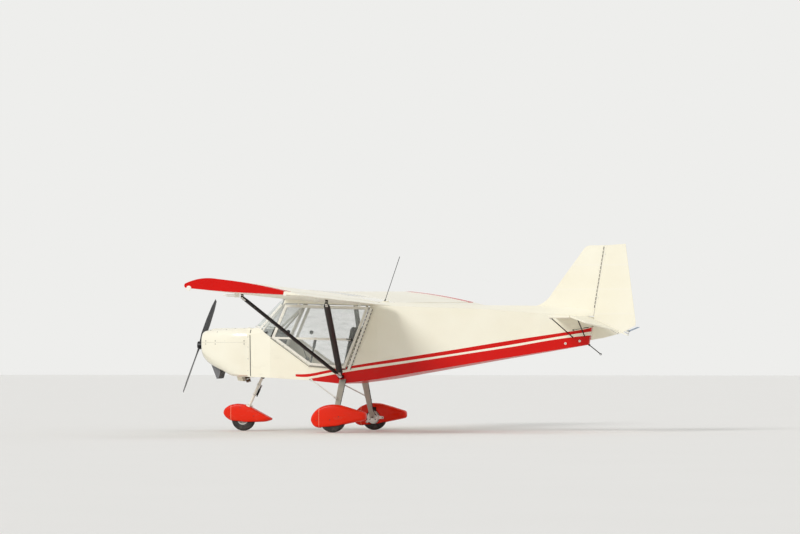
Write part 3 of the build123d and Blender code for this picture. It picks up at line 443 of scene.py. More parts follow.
class Finish:  # a material: its shader's sockets, and the nodes that feed them
    def __init__(self, name, colour, roughness, **sockets):
        self.material = bpy.data.materials.new(name)
        self.material.use_nodes = True
        self.tree = self.material.node_tree
        self.shader = self.tree.nodes["Principled BSDF"]
        self.feed(self.shader.inputs["Base Color"], colour)
        self.feed(self.shader.inputs["Roughness"], roughness)
        for key, value in sockets.items():
            self.set(key, value)

    def set(self, key, value):  # coatWeight stands for Coat Weight
        words = "".join(" " + letter if letter.isupper() else letter for letter in key).title()
        self.feed(self.shader.inputs[words.replace("Ior", "IOR")], value)

    def feed(self, socket, value):
        if isinstance(value, Signal):
            self.tree.links.new(value.socket, socket)
        else:
            socket.default_value = value

    def node(self, kind, settings=None, inputs=None, out=0):
        made = self.tree.nodes.new("ShaderNode" + kind)
        for key, value in (settings or {}).items():
            if key == "bends":
                points = made.mapping.curves[0].points
                while len(points) < len(value):
                    points.new(0.5, 0.5)
                for point, spot in zip(points, value):
                    point.location = spot
                    point.handle_type = "AUTO"
                made.mapping.update()
            else:
                setattr(made, key, value)
        pairs = enumerate(inputs) if isinstance(inputs, list) else (inputs or {}).items()
        for key, value in pairs:
            self.feed(made.inputs[key], value)
        return Signal(self, made.outputs[out])

    def split(self, kind="Object"):  # a texture coordinate as x, y and z; Normal is the way the surface looks
        parts = self.node("SeparateXYZ", None, {"Vector": self.node("TexCoord", out=kind)})
        return [Signal(self, parts.socket.node.outputs[i]) for i in range(3)]

    def noise(self, scale, detail=3.0, stretch=(1, 1, 1)):
        spot = self.node("TexCoord", out="Object")
        spot = self.node("Mapping", None, {"Vector": spot, "Scale": stretch})
        return self.node("TexNoise", None, {"Vector": spot, "Scale": scale, "Detail": detail})

    def rise(self, value, low, high):  # 0 below low, 1 above high
        return self.node("MapRange", {"clamp": True}, {"Value": value, "From Min": low, "From Max": high})

    def blendColour(self, share, first, second):
        made = self.tree.nodes.new("ShaderNodeMix")
        made.data_type = "RGBA"
        for index, value in ((0, share), (6, first), (7, second)):
            self.feed(made.inputs[index], value)
        return Signal(self, made.outputs[2])

    def bump(self, height, strength=0.3, distance=0.001):
        self.set("normal", self.node("Bump", None, {"Height": height, "Strength": strength,
                                                    "Distance": distance}))

    def wear(self, base, rough, height, strength, distance):  # its colour, its gloss and its relief
        self.set("baseColor", base)
        self.set("roughness", rough)
        self.bump(height, strength, distance)
        return self

    def along(self, value, table):  # a smooth line through (place, height) rows
        (x0, x1) = (table[0][0], table[-1][0])
        low, high = min(row[1] for row in table), max(row[1] for row in table)
        bends = [((x - x0) / (x1 - x0), (z - low) / (high - low)) for x, z in table]
        line = self.node("FloatCurve", {"bends": bends}, {"Value": (value - x0) / (x1 - x0)})
        return line * (high - low) + low


# paints and materials

paintShop = {
    "cream": (245, 241, 223),
    "creamDeep": (230, 220, 192),
    "red": (210, 10, 2),
    "spatRed": (230, 38, 4),
    "strutBrown": (17, 12, 11),
    "alloy": (184, 178, 166),
    "stripeWhite": (244, 240, 228),
    "cushion": (70, 70, 74),
    "harness": (205, 52, 34),
    "grime": (120, 104, 84),
}
paint = {key: screenColour(*value) for key, value in paintShop.items()}

# the stripes' edges along the body's side: (x, z)
stripes = {
    "upperTop": [(-1.423, 0.733), (-1.298, 0.734), (-1.189, 0.746), (-1.077, 0.768), (-0.7, 0.836),
                 (-0.065, 0.936), (0.598, 1.041), (1.318, 1.160), (2.021, 1.268), (2.238, 1.303),
                 (2.34, 1.33)],
    "upperLow": [(-1.423, 0.704), (-1.298, 0.697), (-1.189, 0.710), (-1.077, 0.733), (-0.7, 0.803),
                 (-0.065, 0.894), (0.598, 0.991), (1.318, 1.105), (2.021, 1.227), (2.238, 1.262),
                 (2.34, 1.277)],
    "lowerTop": [(-1.298, 0.665), (-1.189, 0.681), (-1.077, 0.701), (-0.7, 0.769), (-0.065, 0.862),
                 (0.598, 0.965), (1.318, 1.076), (2.021, 1.194), (2.34, 1.229)],
    "upperStart": -1.423,
    "lowerStart": -1.215,
}


def clothFinish(name, ribSpacing=0.0, ribAxis=1, ribStart=0.0, sag=0.0, striped=False, tapeHalf=0.016):
    # painted cloth over a frame: tapes over the ribs, a slight hollow between them, a fine orange-peel
    finish = Finish(name, paint["cream"], 0.32, coatWeight=0.06, coatRoughness=0.15, specularIorLevel=0.2)
    x, y, z = spot = finish.split()
    cloud = finish.noise(1.4, 4)
    fine = finish.noise(26, 3)
    colour = finish.blendColour(finish.rise(cloud, 0.35, 0.75) * 0.35, paint["cream"], paint["creamDeep"])
    height = finish.noise(420, 2) * 0.10 + fine * 0.25
    if ribSpacing:
        share = abs((spot[ribAxis] - ribStart) / ribSpacing % 1 - 0.5)  # 0 midway between ribs, 0.5 at one
        tape = finish.rise(share, 0.5 - tapeHalf / ribSpacing - 0.004, 0.5 - tapeHalf / ribSpacing + 0.004)
        hollow = share * share * (4 * sag * 1000)
        height = height + tape * 0.5 + hollow
        colour = finish.blendColour(tape * 0.28, colour, paint["stripeWhite"])
    if striped:
        lookY, lookZ = finish.split("Normal")[1:]
        outside = (lookY * finish.node("Math", {"operation": "SIGN"}, [y]) > 0.02).either(lookZ < -0.1)
        upper = (z < finish.along(x, stripes["upperTop"])).both(z > finish.along(x, stripes["upperLow"]))
        upper = upper.both(x > stripes["upperStart"])
        lower = (z < finish.along(x, stripes["lowerTop"])).both(x > stripes["lowerStart"])
        red = finish.blendColour(finish.rise(cloud, 0.3, 0.8) * 0.3, paint["red"], screenColour(190, 12, 4))
        colour = finish.blendColour(upper.either(lower).both(outside), colour, red)
    # a little grime low down and behind the wheels
    dust = finish.rise(finish.noise(5, 5, (1, 1, 2.5)), 0.55, 0.9) * finish.rise(z, 1.1, 0.6) * 0.35
    colour = finish.blendColour(dust, colour, paint["grime"])
    return finish.wear(colour, fine * 0.12 + 0.26 + dust * 0.4, height, 0.35, 0.001)


def withTab(finish, edges):  # a box of x and y ranges is painted grey-blue: painted shade with a painted sky reflection on the trim tab
    x, y = finish.split()[:2]
    inside = (x > edges[0][0]).both(x < edges[0][1]).both(y > edges[1][0]).both(y < edges[1][1])
    old = finish.shader.inputs["Base Color"].links[0].from_socket
    finish.set("baseColor", finish.blendColour(inside, Signal(finish, old), screenColour(150, 170, 196)))
    return finish


bodyCloth = clothFinish("bodyCloth", striped=True)
wingCloth = clothFinish("wingCloth", ribSpacing=0.3486, ribStart=0.56, sag=0.0035)
surfaceCloth = clothFinish("surfaceCloth", ribSpacing=0.2905, ribStart=0.56, sag=0.002, tapeHalf=0.012)
# the elevator's trim tab is painted grey-blue: painted shade and a painted sky reflection
elevatorCloth = withTab(clothFinish("elevatorCloth", ribSpacing=0.2905, ribStart=0.56, sag=0.002,
                                    tapeHalf=0.012),
                       ((2.7, 3.2), (0.29, 0.43)))
finCloth = clothFinish("finCloth", ribSpacing=0.31, ribAxis=2, ribStart=1.5, sag=0.002, tapeHalf=0.012)


def gelcoat(name, colour, shade, roughness=0.24, coat=0.5, gloss=0.5):
    finish = Finish(name, colour, roughness, coatWeight=coat, coatRoughness=0.08, specularIorLevel=gloss)
    z = finish.split()[2]
    cloud, fine = finish.noise(2.2, 4), finish.noise(60, 2)
    tone = finish.blendColour(finish.rise(cloud, 0.35, 0.8) * 0.5, colour, shade)
    dust = finish.rise(finish.noise(7, 5, (0.6, 1, 2)), 0.56, 0.9) * finish.rise(z, 0.95, 0.1) * 0.3
    return finish.wear(finish.blendColour(dust, tone, paint["grime"]), fine * 0.1 + (roughness - 0.04)
                       + dust * 0.5, cloud * 0.8 + fine * 0.06, 0.25, 0.002)


creamShell = gelcoat("creamShell", paint["cream"], paint["creamDeep"])
redShell = gelcoat("redShell", paint["red"], screenColour(184, 10, 3), coat=0.08, gloss=0.12)
spatShell = gelcoat("spatShell", paint["spatRed"], screenColour(204, 28, 4), coat=0.1, gloss=0.15)


def metalFinish(name, colour, roughness, metallic=1.0, grain=0.15, stretch=(1, 1, 1), worn=None, gloss=0.5):
    finish = Finish(name, colour, roughness, metallic=metallic, specularIorLevel=gloss)
    fine, cloud = finish.noise(180, 3, stretch), finish.noise(9, 4)
    deeper = [value * 0.72 for value in colour[:3]] + [1]
    tone = finish.blendColour(finish.rise(cloud, 0.3, 0.8) * 0.4, colour, deeper)
    if worn:  # thin paint: bare metal shows in small chips
        chips = finish.rise(finish.noise(70, 4), 0.7, 0.74)
        tone = finish.blendColour(chips, tone, worn)
    return finish.wear(tone, fine * grain + roughness - grain / 2, fine, 0.2, 0.0004)


darkStrut = metalFinish("darkStrut", paint["strutBrown"], 0.4, 0.0, 0.1, worn=screenColour(44, 36, 32),
                        gloss=0.18)
whiteTube = metalFinish("whiteTube", screenColour(236, 232, 220), 0.34, 0.0, 0.08)
legAlloy = metalFinish("legAlloy", paint["alloy"], 0.46, 0.35, 0.2, (1, 1, 0.05))
brightSteel = metalFinish("brightSteel", screenColour(196, 196, 198), 0.28, 1.0, 0.15)
darkSteel = metalFinish("darkSteel", screenColour(74, 70, 68), 0.45, 0.9, 0.2)
burntSteel = metalFinish("burntSteel", screenColour(96, 76, 62), 0.55, 0.8, 0.25)
castMetal = metalFinish("castMetal", screenColour(120, 120, 122), 0.55, 0.7, 0.3)
rimPaint = metalFinish("rimPaint", screenColour(226, 224, 216), 0.3, 0.25, 0.1)


def plasticFinish(name, colour, roughness=0.45, grainScale=300):
    finish = Finish(name, colour, roughness)
    fine, cloud = finish.noise(grainScale, 3), finish.noise(12, 3)
    paler = [min(1, value * 1.5 + 0.004) for value in colour[:3]] + [1]
    return finish.wear(finish.blendColour(cloud * 0.35, colour, paler), fine * 0.15 + roughness - 0.07, fine,
                       0.3, 0.0005)


blackPlastic = plasticFinish("blackPlastic", screenColour(24, 24, 26))
sealRubber = plasticFinish("sealRubber", screenColour(30, 28, 28), 0.7, 120)
whitePlastic = plasticFinish("whitePlastic", screenColour(232, 228, 214), 0.35)
dialFace = plasticFinish("dialFace", screenColour(12, 12, 14), 0.25)
dialMarks = plasticFinish("dialMarks", screenColour(235, 235, 230), 0.4)
greyPanel = plasticFinish("greyPanel", screenColour(86, 88, 92), 0.5)
needleRed = plasticFinish("needleRed", screenColour(210, 70, 30), 0.4)
# pale seam colour: partly the gelcoat's pale edge, partly a painted highlight on the seam's lip
seamPale = plasticFinish("seamPale", screenColour(246, 176, 140), 0.35)


def tyreFinish():
    finish = Finish("tyreRubber", screenColour(32, 31, 30), 0.75)
    z = finish.split()[2]
    cloud, fine = finish.noise(18, 5), finish.noise(240, 3)
    tone = finish.blendColour(finish.rise(cloud, 0.35, 0.75), screenColour(26, 25, 25),
                              screenColour(56, 52, 48))
    dust = finish.rise(finish.noise(30, 4), 0.45, 0.8) * finish.rise(z, 0.12, 0.0)
    return finish.wear(finish.blendColour(dust * 0.55, tone, screenColour(118, 108, 94)), fine * 0.15 + 0.66,
                       fine * 0.6 + cloud * 0.4, 0.4, 0.0008)


tyreRubber = tyreFinish()


def bladeFinish():
    finish = Finish("bladeFinish", screenColour(26, 26, 28), 0.36, coatWeight=0.1, coatRoughness=0.1,
                    specularIorLevel=0.25)
    cloud, fine = finish.noise(8, 4), finish.noise(150, 2)
    tone = finish.blendColour(finish.rise(cloud, 0.4, 0.8) * 0.6, screenColour(22, 22, 24),
                              screenColour(52, 50, 50))
    return finish.wear(tone, fine * 0.12 + 0.24, fine, 0.15, 0.0004)


bladePaint = bladeFinish()


def clearSheet(name, tint, low=0.10, high=0.75):
    # thin polycarbonate: nearly clear face on, glossy at a slant, with faint scuffs
    finish = Finish(name, tint, 0.05, specularTint=(1, 1, 1, 1))
    slant = finish.node("LayerWeight", None, {"Blend": 0.35}, out="Facing")
    scuff = finish.rise(finish.noise(6, 6, (1, 1, 3)), 0.5, 0.85)
    finish.set("alpha", slant * (high - low) + low + scuff * 0.10)
    finish.set("roughness", scuff * 0.12 + 0.03)
    return finish


clearWindow = clearSheet("clearWindow", screenColour(222, 228, 224))


def webbingFinish(name, colour, deep):
    finish = Finish(name, colour, 0.7, sheenWeight=0.3, sheenRoughness=0.5)
    x, y, z = finish.split()
    rib = abs((x + z) * 380 % 1 - 0.5) + abs((y + z) * 380 % 1 - 0.5)
    finish.set("baseColor", finish.blendColour(rib * 0.5 + finish.noise(25, 3) * 0.4, colour, deep))
    finish.bump(rib, 0.5, 0.0006)
    return finish


def cushionFinish():
    finish = Finish("cushionCloth", paint["cushion"], 0.85, sheenWeight=0.25, sheenRoughness=0.5)
    x, y, z = finish.split()
    weave = abs((x + z * 0.3) * 520 % 1 - 0.5) + abs(y * 520 % 1 - 0.5)
    cloud, fine = finish.noise(11, 4), finish.noise(90, 3)
    tone = finish.blendColour(finish.rise(cloud, 0.3, 0.8) * 0.6, paint["cushion"], screenColour(98, 96, 96))
    return finish.wear(finish.blendColour(fine * 0.3, tone, screenColour(46, 46, 50)), fine * 0.15 + 0.76,
                       weave * 0.6 + cloud * 0.4, 0.45, 0.0008)


harnessRed = webbingFinish("harnessRed", paint["harness"], screenColour(150, 30, 20))
cushionCloth = cushionFinish()


def noseForkFinish():
    # the leg is painted white and the damper rod behind it is dark
    finish = Finish("noseForkFinish", screenColour(236, 232, 220), 0.34)
    x, z = finish.split()[::2]
    back = (x - noseAxle.x) * noseWay.z - (z - noseAxle.z) * noseWay.x
    dark = (back > 0.022).both(z > 0.36)
    cloud = finish.noise(14, 4)
    pale = finish.blendColour(finish.rise(cloud, 0.4, 0.8) * 0.5, screenColour(238, 234, 222),
                              screenColour(205, 196, 176))
    return finish.wear(finish.blendColour(dark, pale, screenColour(58, 44, 38)), cloud * 0.2 + 0.25,
                       finish.noise(120, 2), 0.2, 0.0004)


def aerialFinish():
    finish = Finish("aerialFinish", screenColour(238, 234, 222), 0.35)
    whip = finish.split()[2] > 1.672  # above its pale base
    pale = finish.blendColour(finish.noise(9, 3) * 0.5, paint["cream"], paint["creamDeep"])
    return finish.wear(finish.blendColour(whip, pale, screenColour(44, 46, 46)), finish.noise(60, 2) * 0.1
                       + 0.3, finish.noise(90, 2), 0.15, 0.0004)


def radiatorFinish():
    finish = Finish("radiatorCore", screenColour(40, 38, 38), 0.5, metallic=0.6)
    fins = abs(finish.split()[1] * 260 % 1 - 0.5)
    cloud = finish.noise(16, 4)
    return finish.wear(finish.blendColour(fins * 0.8 + cloud * 0.3, screenColour(30, 28, 28),
                                          screenColour(84, 78, 72)), cloud * 0.2 + 0.4, fins, 0.8, 0.002)


noseForkPaint = noseForkFinish()
aerialPaint = aerialFinish()
radiatorCore = radiatorFinish()

# where each finish's pieces usually stand in the frame's slots
slots = {
    "tyre": (tyreRubber,),
    "white_shell": (creamShell, whitePlastic, dialMarks),
    "white_tube": (whiteTube, rimPaint),
    "steel": (brightSteel, darkSteel),
    "black_plastic": (blackPlastic, sealRubber, dialFace, greyPanel),
    "red_shell": (spatShell, seamPale, needleRed),
    "seat_cover": (cushionCloth,),
    "red_fabric": (harnessRed,),
    "engine_metal": (castMetal,),
    "dark_strut": (darkStrut,),
}
for slot, finishes in slots.items():
    for finish in finishes:
        finish.slot = slot
print("materials made")


def screws(name, places, radius, height, finish=brightSteel, body="airframe"):
    return complete(scatter(name, screwHead(radius, height), places), finish, body)


nodeFinish = {
    bodyCloth: ("aft_fuselage", "cabin_tub"),
    wingCloth: ("wing_port", "wing_starboard"),
    surfaceCloth: ("flap_port", "flap_starboard", "aileron_port", "aileron_starboard", "tailplane"),
    elevatorCloth: ("elevator",),
    finCloth: ("fin", "rudder"),
    redShell: ("wing_tip_port", "wing_tip_starboard"),
    spatShell: ("main_spat_port", "main_spat_starboard", "nose_spat"),
    creamShell: ("cowl_upper", "cowl_lower", "roof_panel", "root_fairings", "cooling_outlet"),
    clearWindow: ("windscreen", "cabin_windows", "door_panes_port", "door_panes_starboard"),
    whiteTube: ("cabin_frame", "door_frame_port", "door_frame_starboard"),
    darkStrut: ("front_struts", "rear_struts", "tail_struts"),
    legAlloy: ("main_leg_port", "main_leg_starboard"),
    brightSteel: ("nose_axle",),
    darkSteel: ("tail_skid", "rudder_pedals", "nose_leg_housing"),
    rimPaint: ("main_rim_port", "main_rim_starboard", "nose_rim", "drag_braces", "main_axles"),
    castMetal: ("engine_block", "firewall"),
    burntSteel: ("exhaust",),
    tyreRubber: ("main_tyre_port", "main_tyre_starboard", "nose_tyre"),
    bladePaint: ("propeller",),
    blackPlastic: ("instrument_panel", "control_stick"),
    cushionCloth: ("seat_port", "seat_starboard"),
    noseForkPaint: ("nose_fork",),
    aerialPaint: ("aerial",),
    radiatorCore: ("radiator",),
}
for finish, names in nodeFinish.items():
    for name in names:
        nodes[name].data.materials.clear()
        nodes[name].data.materials.append(finish.material)
left = sorted(set(nodes) - {name for names in nodeFinish.values() for name in names})
print("nodes dressed, left over:", left)

# wheels: a grooved tyre on a dished rim
rimFacts = {"holes": 6, "firstHole": 0.3, "holeCircle": 0.045, "holeRadius": 0.0065, "boltCircle": 0.030,
            "boltOut": 0.0225}
wheels = {"main_" + side: {"centre": (-0.796, way * 1.020, 0.167), "tyre": 0.167, "half": 0.050, "rim": 0.082,
                           "body": "main_wheel_" + side, "nodes": ("main_tyre_" + side, "main_rim_" + side)}
          for side, way in bothSides}
wheels["nose"] = {"centre": noseAxle[:], "tyre": 0.156, "half": 0.043, "rim": 0.072,
                  "body": "nose_wheel", "nodes": ("nose_tyre", "nose_rim")}


def makeWheel(name, facts):
    big, half, rim = facts["tyre"], facts["half"], facts["rim"]
    side = [(0.72, rim - 0.001), (0.86, rim + 0.004), (0.93, rim + 0.012), (0.97, rim + 0.022),
            (0.995, rim + 0.024), (1.0, rim + 0.027), (0.99, rim + 0.030), (0.995, rim + (big - rim) * 0.55),
            (0.94, big - 0.019), (0.84, big - 0.009), (0.72, big - 0.0045), (0.62, big - 0.003),
            (0.60, big - 0.0085), (0.53, big - 0.0085), (0.51, big - 0.0016), (0.26, big - 0.0005),
            (0.24, big - 0.0065), (0.17, big - 0.0065), (0.15, big)]
    profile = [(-share * half, out) for share, out in side]
    profile += [(share * half, out) for share, out in reversed(side)]
    tyre = lathe(name + "_tyre", profile + profile[:1], facts["centre"], (0, 1, 0), 72)
    complete(tyre, tyreRubber, facts["body"], smooth=40)
    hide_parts(facts["nodes"][0])

    edge = half * 0.92
    dish = [(0.039, 0.0104), (0.039, 0.020), (0.036, 0.023), (0.026, 0.027), (0.021, 0.034),
            (0.020, rim - 0.026), (0.024, rim - 0.017), (0.034, rim - 0.011), (edge - 0.003, rim - 0.006),
            (edge, rim - 0.002), (edge, rim + 0.003), (edge - 0.003, rim + 0.005),
            (edge - 0.007, rim + 0.002), (edge - 0.012, rim - 0.002)]
    scale = half / 0.050
    dish = [(along * scale if out < rim - 0.008 else along, out) for along, out in dish]
    profile = [(-along, out) for along, out in dish] + [(along, out) for along, out in reversed(dish)]
    wheel = lathe(name + "_rim", profile + profile[:1], facts["centre"], (0, 1, 0), 64)
    x, y, z = centre = facts["centre"]
    holes, heads = [], []
    for i in range(rimFacts["holes"]):
        angle = math.tau * i / rimFacts["holes"] + rimFacts["firstHole"]
        spot = around(centre, angle, rimFacts["holeCircle"])
        holes.append(crossBar("hole", spot, 0.04, rimFacts["holeRadius"]))
        bolt = around(centre, angle + math.pi / rimFacts["holes"], rimFacts["boltCircle"])
        heads += [(bolt + Vector((0, way * rimFacts["boltOut"] * scale, 0)), (0, way, 0))
                  for side, way in bothSides]
    cut(wheel, *holes)
    complete(wheel, rimPaint, facts["body"], slot="rim")
    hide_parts(facts["nodes"][1])
    screws(name + "_rim_bolts", heads, 0.0045, 0.006, body=facts["body"])
    outward = -1 if y < 0 else 1
    valve = bar(name + "_valve", (x + 0.030, y + outward * 0.024 * scale, z + rim - 0.036),
                (x + 0.032, y + outward * 0.040 * scale, z + rim - 0.040), 0.003, 0.001, 12)
    complete(valve, blackPlastic, facts["body"], slot="tyre")


for name, facts in wheels.items():
    makeWheel(name, facts)
print("wheels made")

# wheel fairings: side outlines (x, z), and the outline's share of its size towards the sides
spats = {
    "mainOutline": [(-1.082, 0.150), (-1.068, 0.208), (-1.030, 0.262), (-0.975, 0.308), (-0.895, 0.342),
                    (-0.804, 0.355), (-0.704, 0.349), (-0.604, 0.322), (-0.480, 0.285), (-0.357, 0.248),
                    (-0.357, 0.160), (-0.500, 0.130), (-0.610, 0.108), (-0.720, 0.077), (-0.980, 0.056),
                    (-1.040, 0.080)],
    "noseOutline": [(-2.547, 0.232), (-2.522, 0.290), (-2.455, 0.334), (-2.350, 0.353), (-2.246, 0.342),
                    (-2.160, 0.305), (-2.035, 0.238), (-1.890, 0.162), (-1.890, 0.142), (-1.975, 0.117),
                    (-2.225, 0.106), (-2.445, 0.130), (-2.515, 0.178)],
    "corner": 0.030,
    "halfWidth": 0.078,
    "wall": 0.004,
    "stations": [(1.0, 0.78), (0.975, 0.835), (0.93, 0.88), (0.86, 0.92), (0.76, 0.95), (0.62, 0.975),
                 (0.42, 0.993), (0.15, 1.0)],
    "mainSeam": -0.957,
    "noseSeam": -2.425,
    "seamHalf": 0.0015,
    "mainY": 1.020,
    "mainWell": (-0.956, -0.636, 0.062, 0.120),  # x from and to, half width and top
    "noseWell": (-2.441, -2.111, 0.060, 0.150),
    "innerSide": (0.900, 0.980),  # what is open towards the body
    "hubHole": (-0.796, 0.167, 0.092),
    "legSlot": (-0.842, -0.750, 0.160, 0.300),
    "legHole": 0.021,
    # x, z and how far out
    "mainScrews": ((-0.970, 0.246, 0.0775), (-0.813, 0.159, 0.0780), (-0.990, 0.150, 0.0775),
                   (-0.700, 0.200, 0.0780)),
    "noseScrews": ((-2.440, 0.180), (-2.300, 0.300), (-2.120, 0.190)),
}


def spatForm(name, outline, y, grow=0.0):
    spread = roundedOutline(outline, spats["corner"])
    midX = sum(x for x, z in outline) / len(outline)
    midZ = sum(z for x, z in outline) / len(outline)
    height = max(z for x, z in outline) - min(z for x, z in outline)
    size = 1 + 2 * grow / height
    stations = [(-across, share) for across, share in spats["stations"]] + spats["stations"][::-1]
    rings = [[(midX + (x - midX) * size * share, y + across * (spats["halfWidth"] + grow),
               midZ + (z - midZ) * size * share) for x, z in spread] for across, share in stations]
    return loft(name, rings)


def makeSpat(name, outline, y, seam, body, node, openings):
    shell = cut(spatForm(name, outline, y), spatForm("inside", outline, y, -spats["wall"]))
    cut(shell, *openings)
    tidyNormals(shell)
    complete(shell, spatShell, body, smooth=42)
    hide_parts(node)
    # a pale band along the seam: the lip's pale gelcoat edge with a painted highlight on it
    band = spatForm(name + "_seam", outline, y, 0.0009)
    ahead = block("ahead", (seam - 1, y - 0.3, -0.2), (seam - spats["seamHalf"], y + 0.3, 0.6))
    behind = block("behind", (seam + spats["seamHalf"], y - 0.3, -0.2), (seam + 1, y + 0.3, 0.6))
    cut(band, ahead, behind, spatForm("inside", outline, y, -0.001))
    complete(band, seamPale, body, smooth=42)


def wheelWell(y, x0, x1, half, top):
    return block("well", (x0, y - half, -0.05), (x1, y + half, top), 0.02, 3)


for side, way in bothSides:
    y = way * spats["mainY"]
    near, far = [way * reach for reach in spats["innerSide"]]
    x, z, radius = spats["hubHole"]
    x0, x1, low, high = spats["legSlot"]
    openings = [wheelWell(y, *spats["mainWell"]), bar("hubHole", (x, near, z), (x, far, z), radius, sides=48),
                block("legSlot", (x0, min(near, far), low), (x1, max(near, far), high))]
    makeSpat("main_spat_" + side + "_shell", spats["mainOutline"], y, spats["mainSeam"], "airframe",
             "main_spat_" + side, openings)
    heads = [((x, y + way * out, z), (0, way, 0)) for x, z, out in spats["mainScrews"]]
    screws("main_spat_" + side + "_screws", heads, 0.006, 0.004, darkSteel)

foot = noseAxle + noseWay * 0.1
openings = [wheelWell(0, *spats["noseWell"]), bar("legHole", foot, foot + noseWay * 0.3, spats["legHole"],
                                                  sides=24)]
makeSpat("nose_spat_shell", spats["noseOutline"], 0, spats["noseSeam"], "nose_steering", "nose_spat",
         openings)
heads = [((x, way * 0.0775, z), (0, way, 0)) for side, way in bothSides for x, z in spats["noseScrews"]]
screws("nose_spat_screws", heads, 0.005, 0.004, darkSteel, "nose_steering")
print("wheel fairings made")

# cowling: rows of x, half width, bottom, top and corner radius
cowling = {
    "rows": [(-2.800, 0.150, 1.018, 1.246, 0.095), (-2.776, 0.212, 0.955, 1.276, 0.112),
             (-2.712, 0.262, 0.890, 1.296, 0.120), (-2.600, 0.310, 0.828, 1.306, 0.115),
             (-2.480, 0.342, 0.775, 1.312, 0.108), (-2.340, 0.370, 0.722, 1.315, 0.098),
             (-2.110, 0.400, 0.700, 1.318, 0.080)],
    "bodySection": [(0.375, 0.700), (0.400, 1.240), (0.345, 1.318), (-0.345, 1.318), (-0.400, 1.240),
                    (-0.375, 0.700)],
    "bodyCorner": 0.022,
    "collar": 0.003,  # how far the cowling's rear edge stands proud of the body
    "blend": (-2.48, 0.33),  # where it starts to take the body's section, and over what length
    "flare": 0.42,
    "cheek": 0.005,
    "rearX": -2.084,
    "wall": 0.004,
    "split": 1.140,
    "splitGap": 0.0012,
    "inlet": {"y": 0.132, "z": 1.150, "half": 0.048, "tall": 0.022},
    "shaftHole": 0.062,
    "bulge": [(-2.712, 0.050, 1.300), (-2.690, 0.085, 1.311), (-2.630, 0.120, 1.325), (-2.350, 0.140, 1.330),
              (-2.105, 0.150, 1.329), (-2.088, 0.150, 1.325)],  # x, half width and top
    "bulgeBase": 1.286,
    "screwX": (-2.704, -2.560, -2.420, -2.276, -2.150),
    "screwOff": 0.020,
    "rearScrews": (-2.097, 0.405, (0.78, 0.93, 1.08, 1.21)),  # x, y and heights
}


def cowlForm(name, grow=0.0):
    rings = []
    rows = smoothRows(cowling["rows"], 4)
    rear = cowling["rows"][-1]
    bodyLine = roundedOutline(cowling["bodySection"], cowling["bodyCorner"])
    for x, half, low, high, corner in rows + [list(rear), [cowling["rearX"]] + list(rear[1:])]:
        start, length = cowling["blend"]
        blend = min(1, max(0, (x - start) / length))
        blend = blend * blend * (3 - 2 * blend)
        centre = (0, (low + high) / 2)
        outline = roundedBox(half, low, high, corner)
        flare = 0 if x <= rear[0] else (x - rear[0])
        ring = []
        for i in range(72):
            angle = math.tau * (i + 0.5) / 72
            near, far = outlineAt(outline, centre, angle), outlineAt(bodyLine, centre, angle)
            spot = Vector((0, near[0] + (far[0] - near[0]) * blend, near[1] + (far[1] - near[1]) * blend))
            out = Vector((0, math.cos(angle), math.sin(angle)))
            lift = grow + cowling["collar"] * blend + flare * cowling["flare"] * abs(math.cos(angle))
            spot = spot + out * (lift + cowling["cheek"] * (1 - blend) * math.cos(angle) ** 2)
            ring.append((x, spot.y, spot.z))
        rings.append(ring)
    first, last = rings[0][0][0], rings[-1][0][0]
    if grow < 0:
        rings[0] = [(first - grow, y, z) for x, y, z in rings[0]]
        rings[-1] = [(last + 0.01, y, z) for x, y, z in rings[-1]]
    return loft(name, rings)


def makeCowl():
    shell = cut(cowlForm("cowl"), cowlForm("inside", -cowling["wall"]))
    cutters = [bar("shaftHole", (-2.9, 0, thrustZ), (-2.7, 0, thrustZ), cowling["shaftHole"], sides=48)]
    inlet = cowling["inlet"]
    for way in (-1, 1):
        low = (-2.85, way * inlet["y"] - inlet["half"], inlet["z"] - inlet["tall"])
        high = (-2.73, way * inlet["y"] + inlet["half"], inlet["z"] + inlet["tall"])
        cutters.append(block("inlet", low, high, 0.016, 4))
    cut(shell, *cutters)
    lower = join("cowl_lower_shell", [duplicate(shell)])
    upper = join("cowl_upper_shell", [shell])
    gap = cowling["splitGap"] / 2
    cut(upper, block("below", (-3, -0.6, 0.5), (-2, 0.6, cowling["split"] + gap)))
    cut(lower, block("above", (-3, -0.6, cowling["split"] - gap), (-2, 0.6, 1.6)))
    for piece, node in ((upper, "cowl_upper"), (lower, "cowl_lower")):
        complete(piece, creamShell, smooth=32)
        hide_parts(node)
    rings = []
    for x, half, top in smoothRows(cowling["bulge"], 3):
        ring = []
        for i in range(21):
            across, rise = math.cos(math.pi * i / 20), math.sin(math.pi * i / 20)
            ring.append((x, half * boxier(across, 0.55),
                         cowling["bulgeBase"] + (top - cowling["bulgeBase"]) * rise ** 0.45))
        rings.append(ring)
    complete(loft("cowl_bulge", rings), creamShell, smooth=50)
    heads = []
    for x in cowling["screwX"]:
        before = max((row for row in cowling["rows"] if row[0] <= x), key=lambda row: row[0])
        after = min((row for row in cowling["rows"] if row[0] > x), key=lambda row: row[0])
        half = before[1] + (after[1] - before[1]) * (x - before[0]) / (after[0] - before[0]) + 0.005
        heads += [((x, way * half, cowling["split"] + off * cowling["screwOff"]), (0, way, 0))
                  for side, way in bothSides for off in (1, -1)]
    screws("cowl_screws", heads, 0.006, 0.005, darkSteel)
    x, y, heights = cowling["rearScrews"]
    heads = [((x, way * y, z), (0, way, 0)) for side, way in bothSides for z in heights]
    screws("cowl_rear_screws", heads, 0.005, 0.005)


makeCowl()
print("cowling made")

